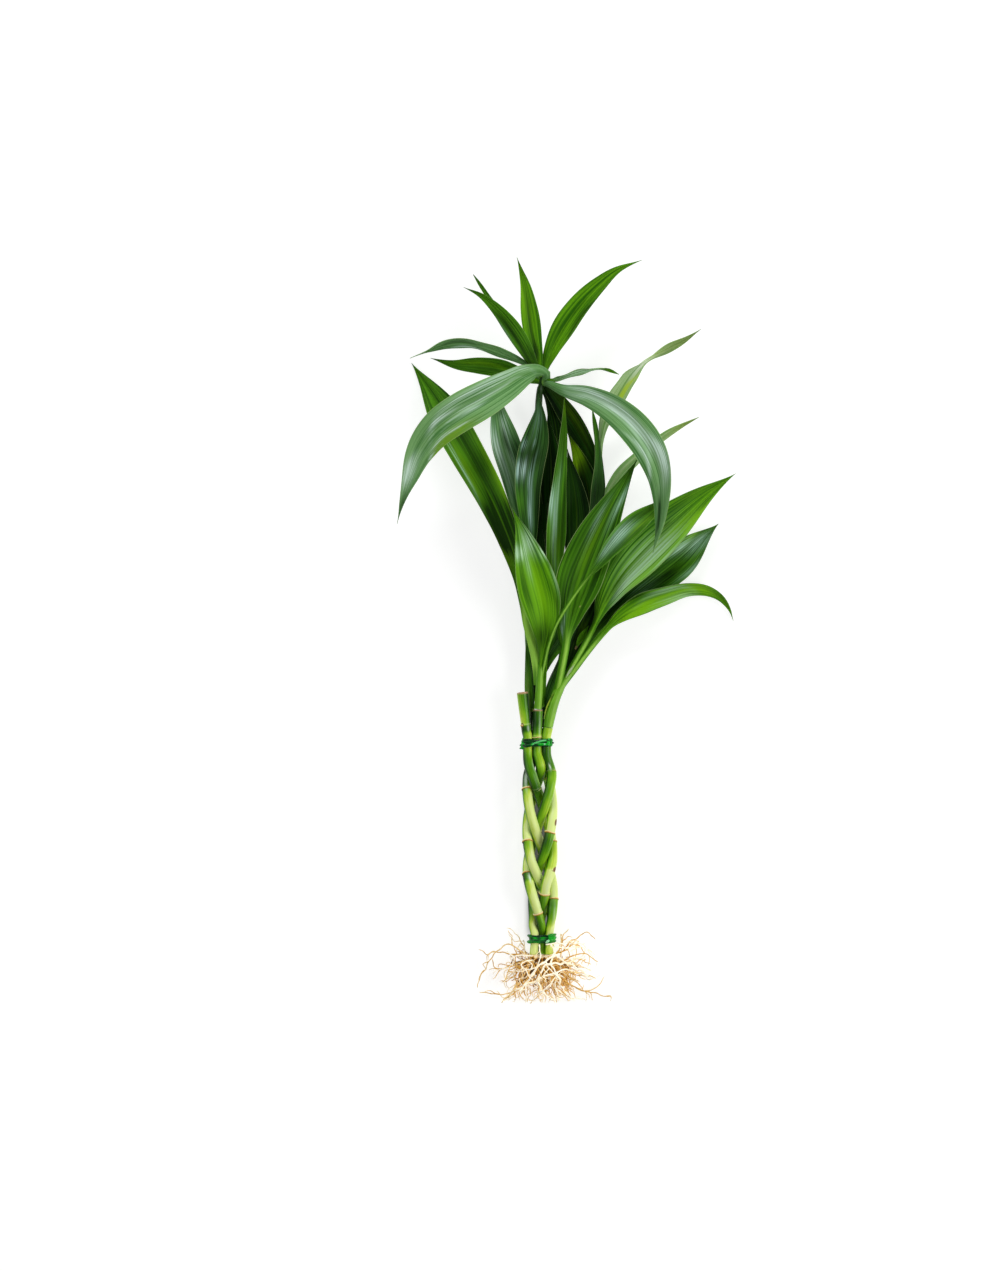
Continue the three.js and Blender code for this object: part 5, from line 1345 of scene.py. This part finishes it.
def stem_finish():
    finish = Finish("stem")
    across = finish.number("across")
    mm = finish.number("mm")
    seed = finish.number("seed")
    fibres = finish.noise(finish.vector(across * 22, mm * 0.03, seed), detail=3, roughness=0.6)
    clouds = finish.noise(finish.vector(across * 2, mm * 0.06, seed + 9), detail=2)
    tone = (fibres * 0.8 + clouds * 0.7).rise(0.45, 1.05)
    colour = finish.mix(tone, (0.045, 0.20, 0.002), (0.20, 0.50, 0.025))
    # painted highlight: a light stripe down one side of each stem, where the light falls
    lit = 1 - abs(across - 0.3).rise(0.05, 0.3)
    colour = finish.mix(lit * 0.6, colour, (0.33, 0.62, 0.08))
    # painted shade: stems that lie behind the leaves are drawn darker all over
    shade = (finish.number("dark") * (0.6 + fibres * 0.5)).clamp()
    return finish.done(
        Base_Color=finish.mix(shade, colour, (0.012, 0.045, 0.006)),
        Roughness=0.36,
        Specular_IOR_Level=0.12,
        Coat_Weight=0.12,
        Coat_Roughness=0.2,
        Normal=finish.bump(fibres, 0.0004, 0.4))


def add_stem(index, stem):
    line = smooth_curve([point[:3] for point in stem["points"]])
    radii = [point[3] for point in stem["points"]]
    length = line_length(line)
    seed = 5.3 * index

    def shape(turn, along):
        place, heading = places_along(line, along)
        side, up = square_to(heading, across_plant)
        wraps = 0.05 * np.sin(turn * 3 + seed) + 0.05 * np.sin(turn * 8 + seed)
        out = value_along(radii, along) * (1 + 0.6 * wraps) * np.where(along > 0.97, 0.75, 1)
        numbers = {"mm": along * length, "seed": seed, "dark": stem.get("dark", 0)}
        return oval(place, turn, side, up, out, out), numbers

    form = new_tube(28, int(length / 1.5), shape, ("mm", "seed", "dark"))
    add_piece(f"stem_{index}", form, materials["stem"], [f"shoot_{index}"])


def add_leaf(name, leaf, seed):
    add_piece(name, leaf_form(leaf, seed), leaf_finishes[leaf["finish"]], sharp=60)


materials["stem"] = stem_finish()
# each finish is made of a deep, a fresh, a warm and a silvery colour; the silvery one is for painted sheen,
# the near-black finish is painted shadow and the deep finish is a dark green that is partly painted shade
leaf_colours = {
    "bright": [(0.025, 0.13, 0.001), (0.15, 0.43, 0.006), (0.20, 0.50, 0.006), (0.46, 0.74, 0.44)],
    "green": [(0.018, 0.085, 0.001), (0.085, 0.28, 0.008), (0.18, 0.42, 0.006), (0.36, 0.60, 0.44)],
    "deep": [(0.008, 0.040, 0.003), (0.045, 0.15, 0.022), (0.08, 0.28, 0.008), (0.38, 0.60, 0.53)],
    "painted_shadow": [(0.001, 0.008, 0.0005), (0.010, 0.050, 0.001), (0.15, 0.32, 0.003), (0.10, 0.20, 0.08)],
    "silver": [(0.070, 0.21, 0.05), (0.205, 0.42, 0.15), (0.17, 0.36, 0.03), (0.62, 0.82, 0.68)],
    "pale": [(0.15, 0.33, 0.08), (0.44, 0.61, 0.30), (0.44, 0.62, 0.05), (0.76, 0.86, 0.70)],
}
leaf_finishes = {look: leaf_finish(f"leaf_{look}", *colours) for look, colours in leaf_colours.items()}
for index, stem in enumerate(stems, 1):
    add_stem(index, stem)
    shoot = [leaf for leaf in leaves if leaf["shoot"] == index]
    for count, leaf in enumerate(shoot, 1):
        add_leaf(f"leaf_{index}_{count}", leaf, 10 * index + 1.37 * count)
for count, leaf in enumerate(fill_leaves, 1):
    add_leaf(f"fill_leaf_{count}", leaf, 70 + count)


# The table, the light and the camera: a white table under a white studio, with the plant lying on it
# and the camera looking straight down, as the photograph shows it.
photo_width = 1000
photo_height = 1271
mm_per_pixel = 0.6
# the height in metres at which a pixel is that wide
plane_height = 0.018
# the pixel where the photo shows the origin
origin_x = 541
origin_y = 940
lens = 200
sensor = 36
table_size = 4
below_plant = 0.1


def add_light(name, place, width, height, power, colour):
    lamp = bpy.data.lights.new(name, "AREA")
    lamp.shape = "RECTANGLE"
    lamp.size = width
    lamp.size_y = height
    lamp.energy = power
    lamp.color = colour
    light = bpy.data.objects.new(name, lamp)
    middle = Vector((-0.02, 0.18, 0))
    light.location = place
    light.rotation_euler = (middle - Vector(place)).to_track_quat("-Z", "Y").to_euler()
    light.visible_camera = False
    bpy.context.scene.collection.objects.link(light)


def patch(place, left, right, low, high, side, end):
    """One inside a rectangle of the table, in millimetres, fading over side and end at its edges."""
    inside = 1
    for axis, first, last, soft in (("X", left, right, side), ("Y", low, high, end)):
        at = place.finish.node("ShaderNodeSeparateXYZ", None, [place], output=axis)
        rising = at.rise(first * MM, (first + soft) * MM)
        inside = rising * (1 - at.rise((last - soft) * MM, last * MM)) * inside
    return inside


# a soft shadow is painted on the table right under the plait and under the middle of the leaves
finish = Finish("table_top")
place = finish.place()
shade = patch(place, -11, 8.5, -4, 96, 7, 12) * 0.92 + patch(place, -14, 20, 210, 300, 10, 16) * 0.8
shade = shade.clamp()
form = bmesh.new()
bmesh.ops.create_grid(form, x_segments=1, y_segments=1, size=table_size)
mesh = bpy.data.meshes.new("table_top")
form.to_mesh(mesh)
form.free()
mesh.materials.append(finish.done(
    Base_Color=finish.mix(shade, (0.45, 0.45, 0.45), (0.03, 0.03, 0.03)),
    Roughness=1.0,
    Emission_Color=finish.mix(shade, (1, 1, 1), (0.01, 0.015, 0.01)),
    Emission_Strength=0.72))
floor = bpy.data.objects.new("table_top", mesh)
floor.location.z = -below_plant * MM
bpy.context.scene.collection.objects.link(floor)

world = bpy.data.worlds.new("studio")
world.use_nodes = True
background = world.node_tree.nodes["Background"]
background.inputs["Color"].default_value = (1, 1, 1, 1)
background.inputs["Strength"].default_value = 0.16
bpy.context.scene.world = world
bpy.context.scene.view_settings.view_transform = "Standard"
add_light("top_light", (-0.5, 2.3, 1.5), 2.0, 0.9, 34, (0.97, 0.99, 1.0))
add_light("right_light", (1.7, -0.2, 1.3), 1.4, 1.4, 30, (1.0, 1.0, 0.97))
add_light("left_light", (-1.8, 0.4, 1.5), 1.2, 1.4, 9, (1.0, 1.0, 1.0))

camera_data = bpy.data.cameras.new("camera")
camera_data.lens = lens
camera_data.sensor_width = sensor
camera = bpy.data.objects.new("camera", camera_data)
camera.location = (
    (photo_width / 2 - origin_x) * mm_per_pixel * MM,
    (origin_y - photo_height / 2) * mm_per_pixel * MM,
    plane_height + photo_height * mm_per_pixel * MM * lens / sensor)
bpy.context.scene.collection.objects.link(camera)
bpy.context.scene.camera = camera
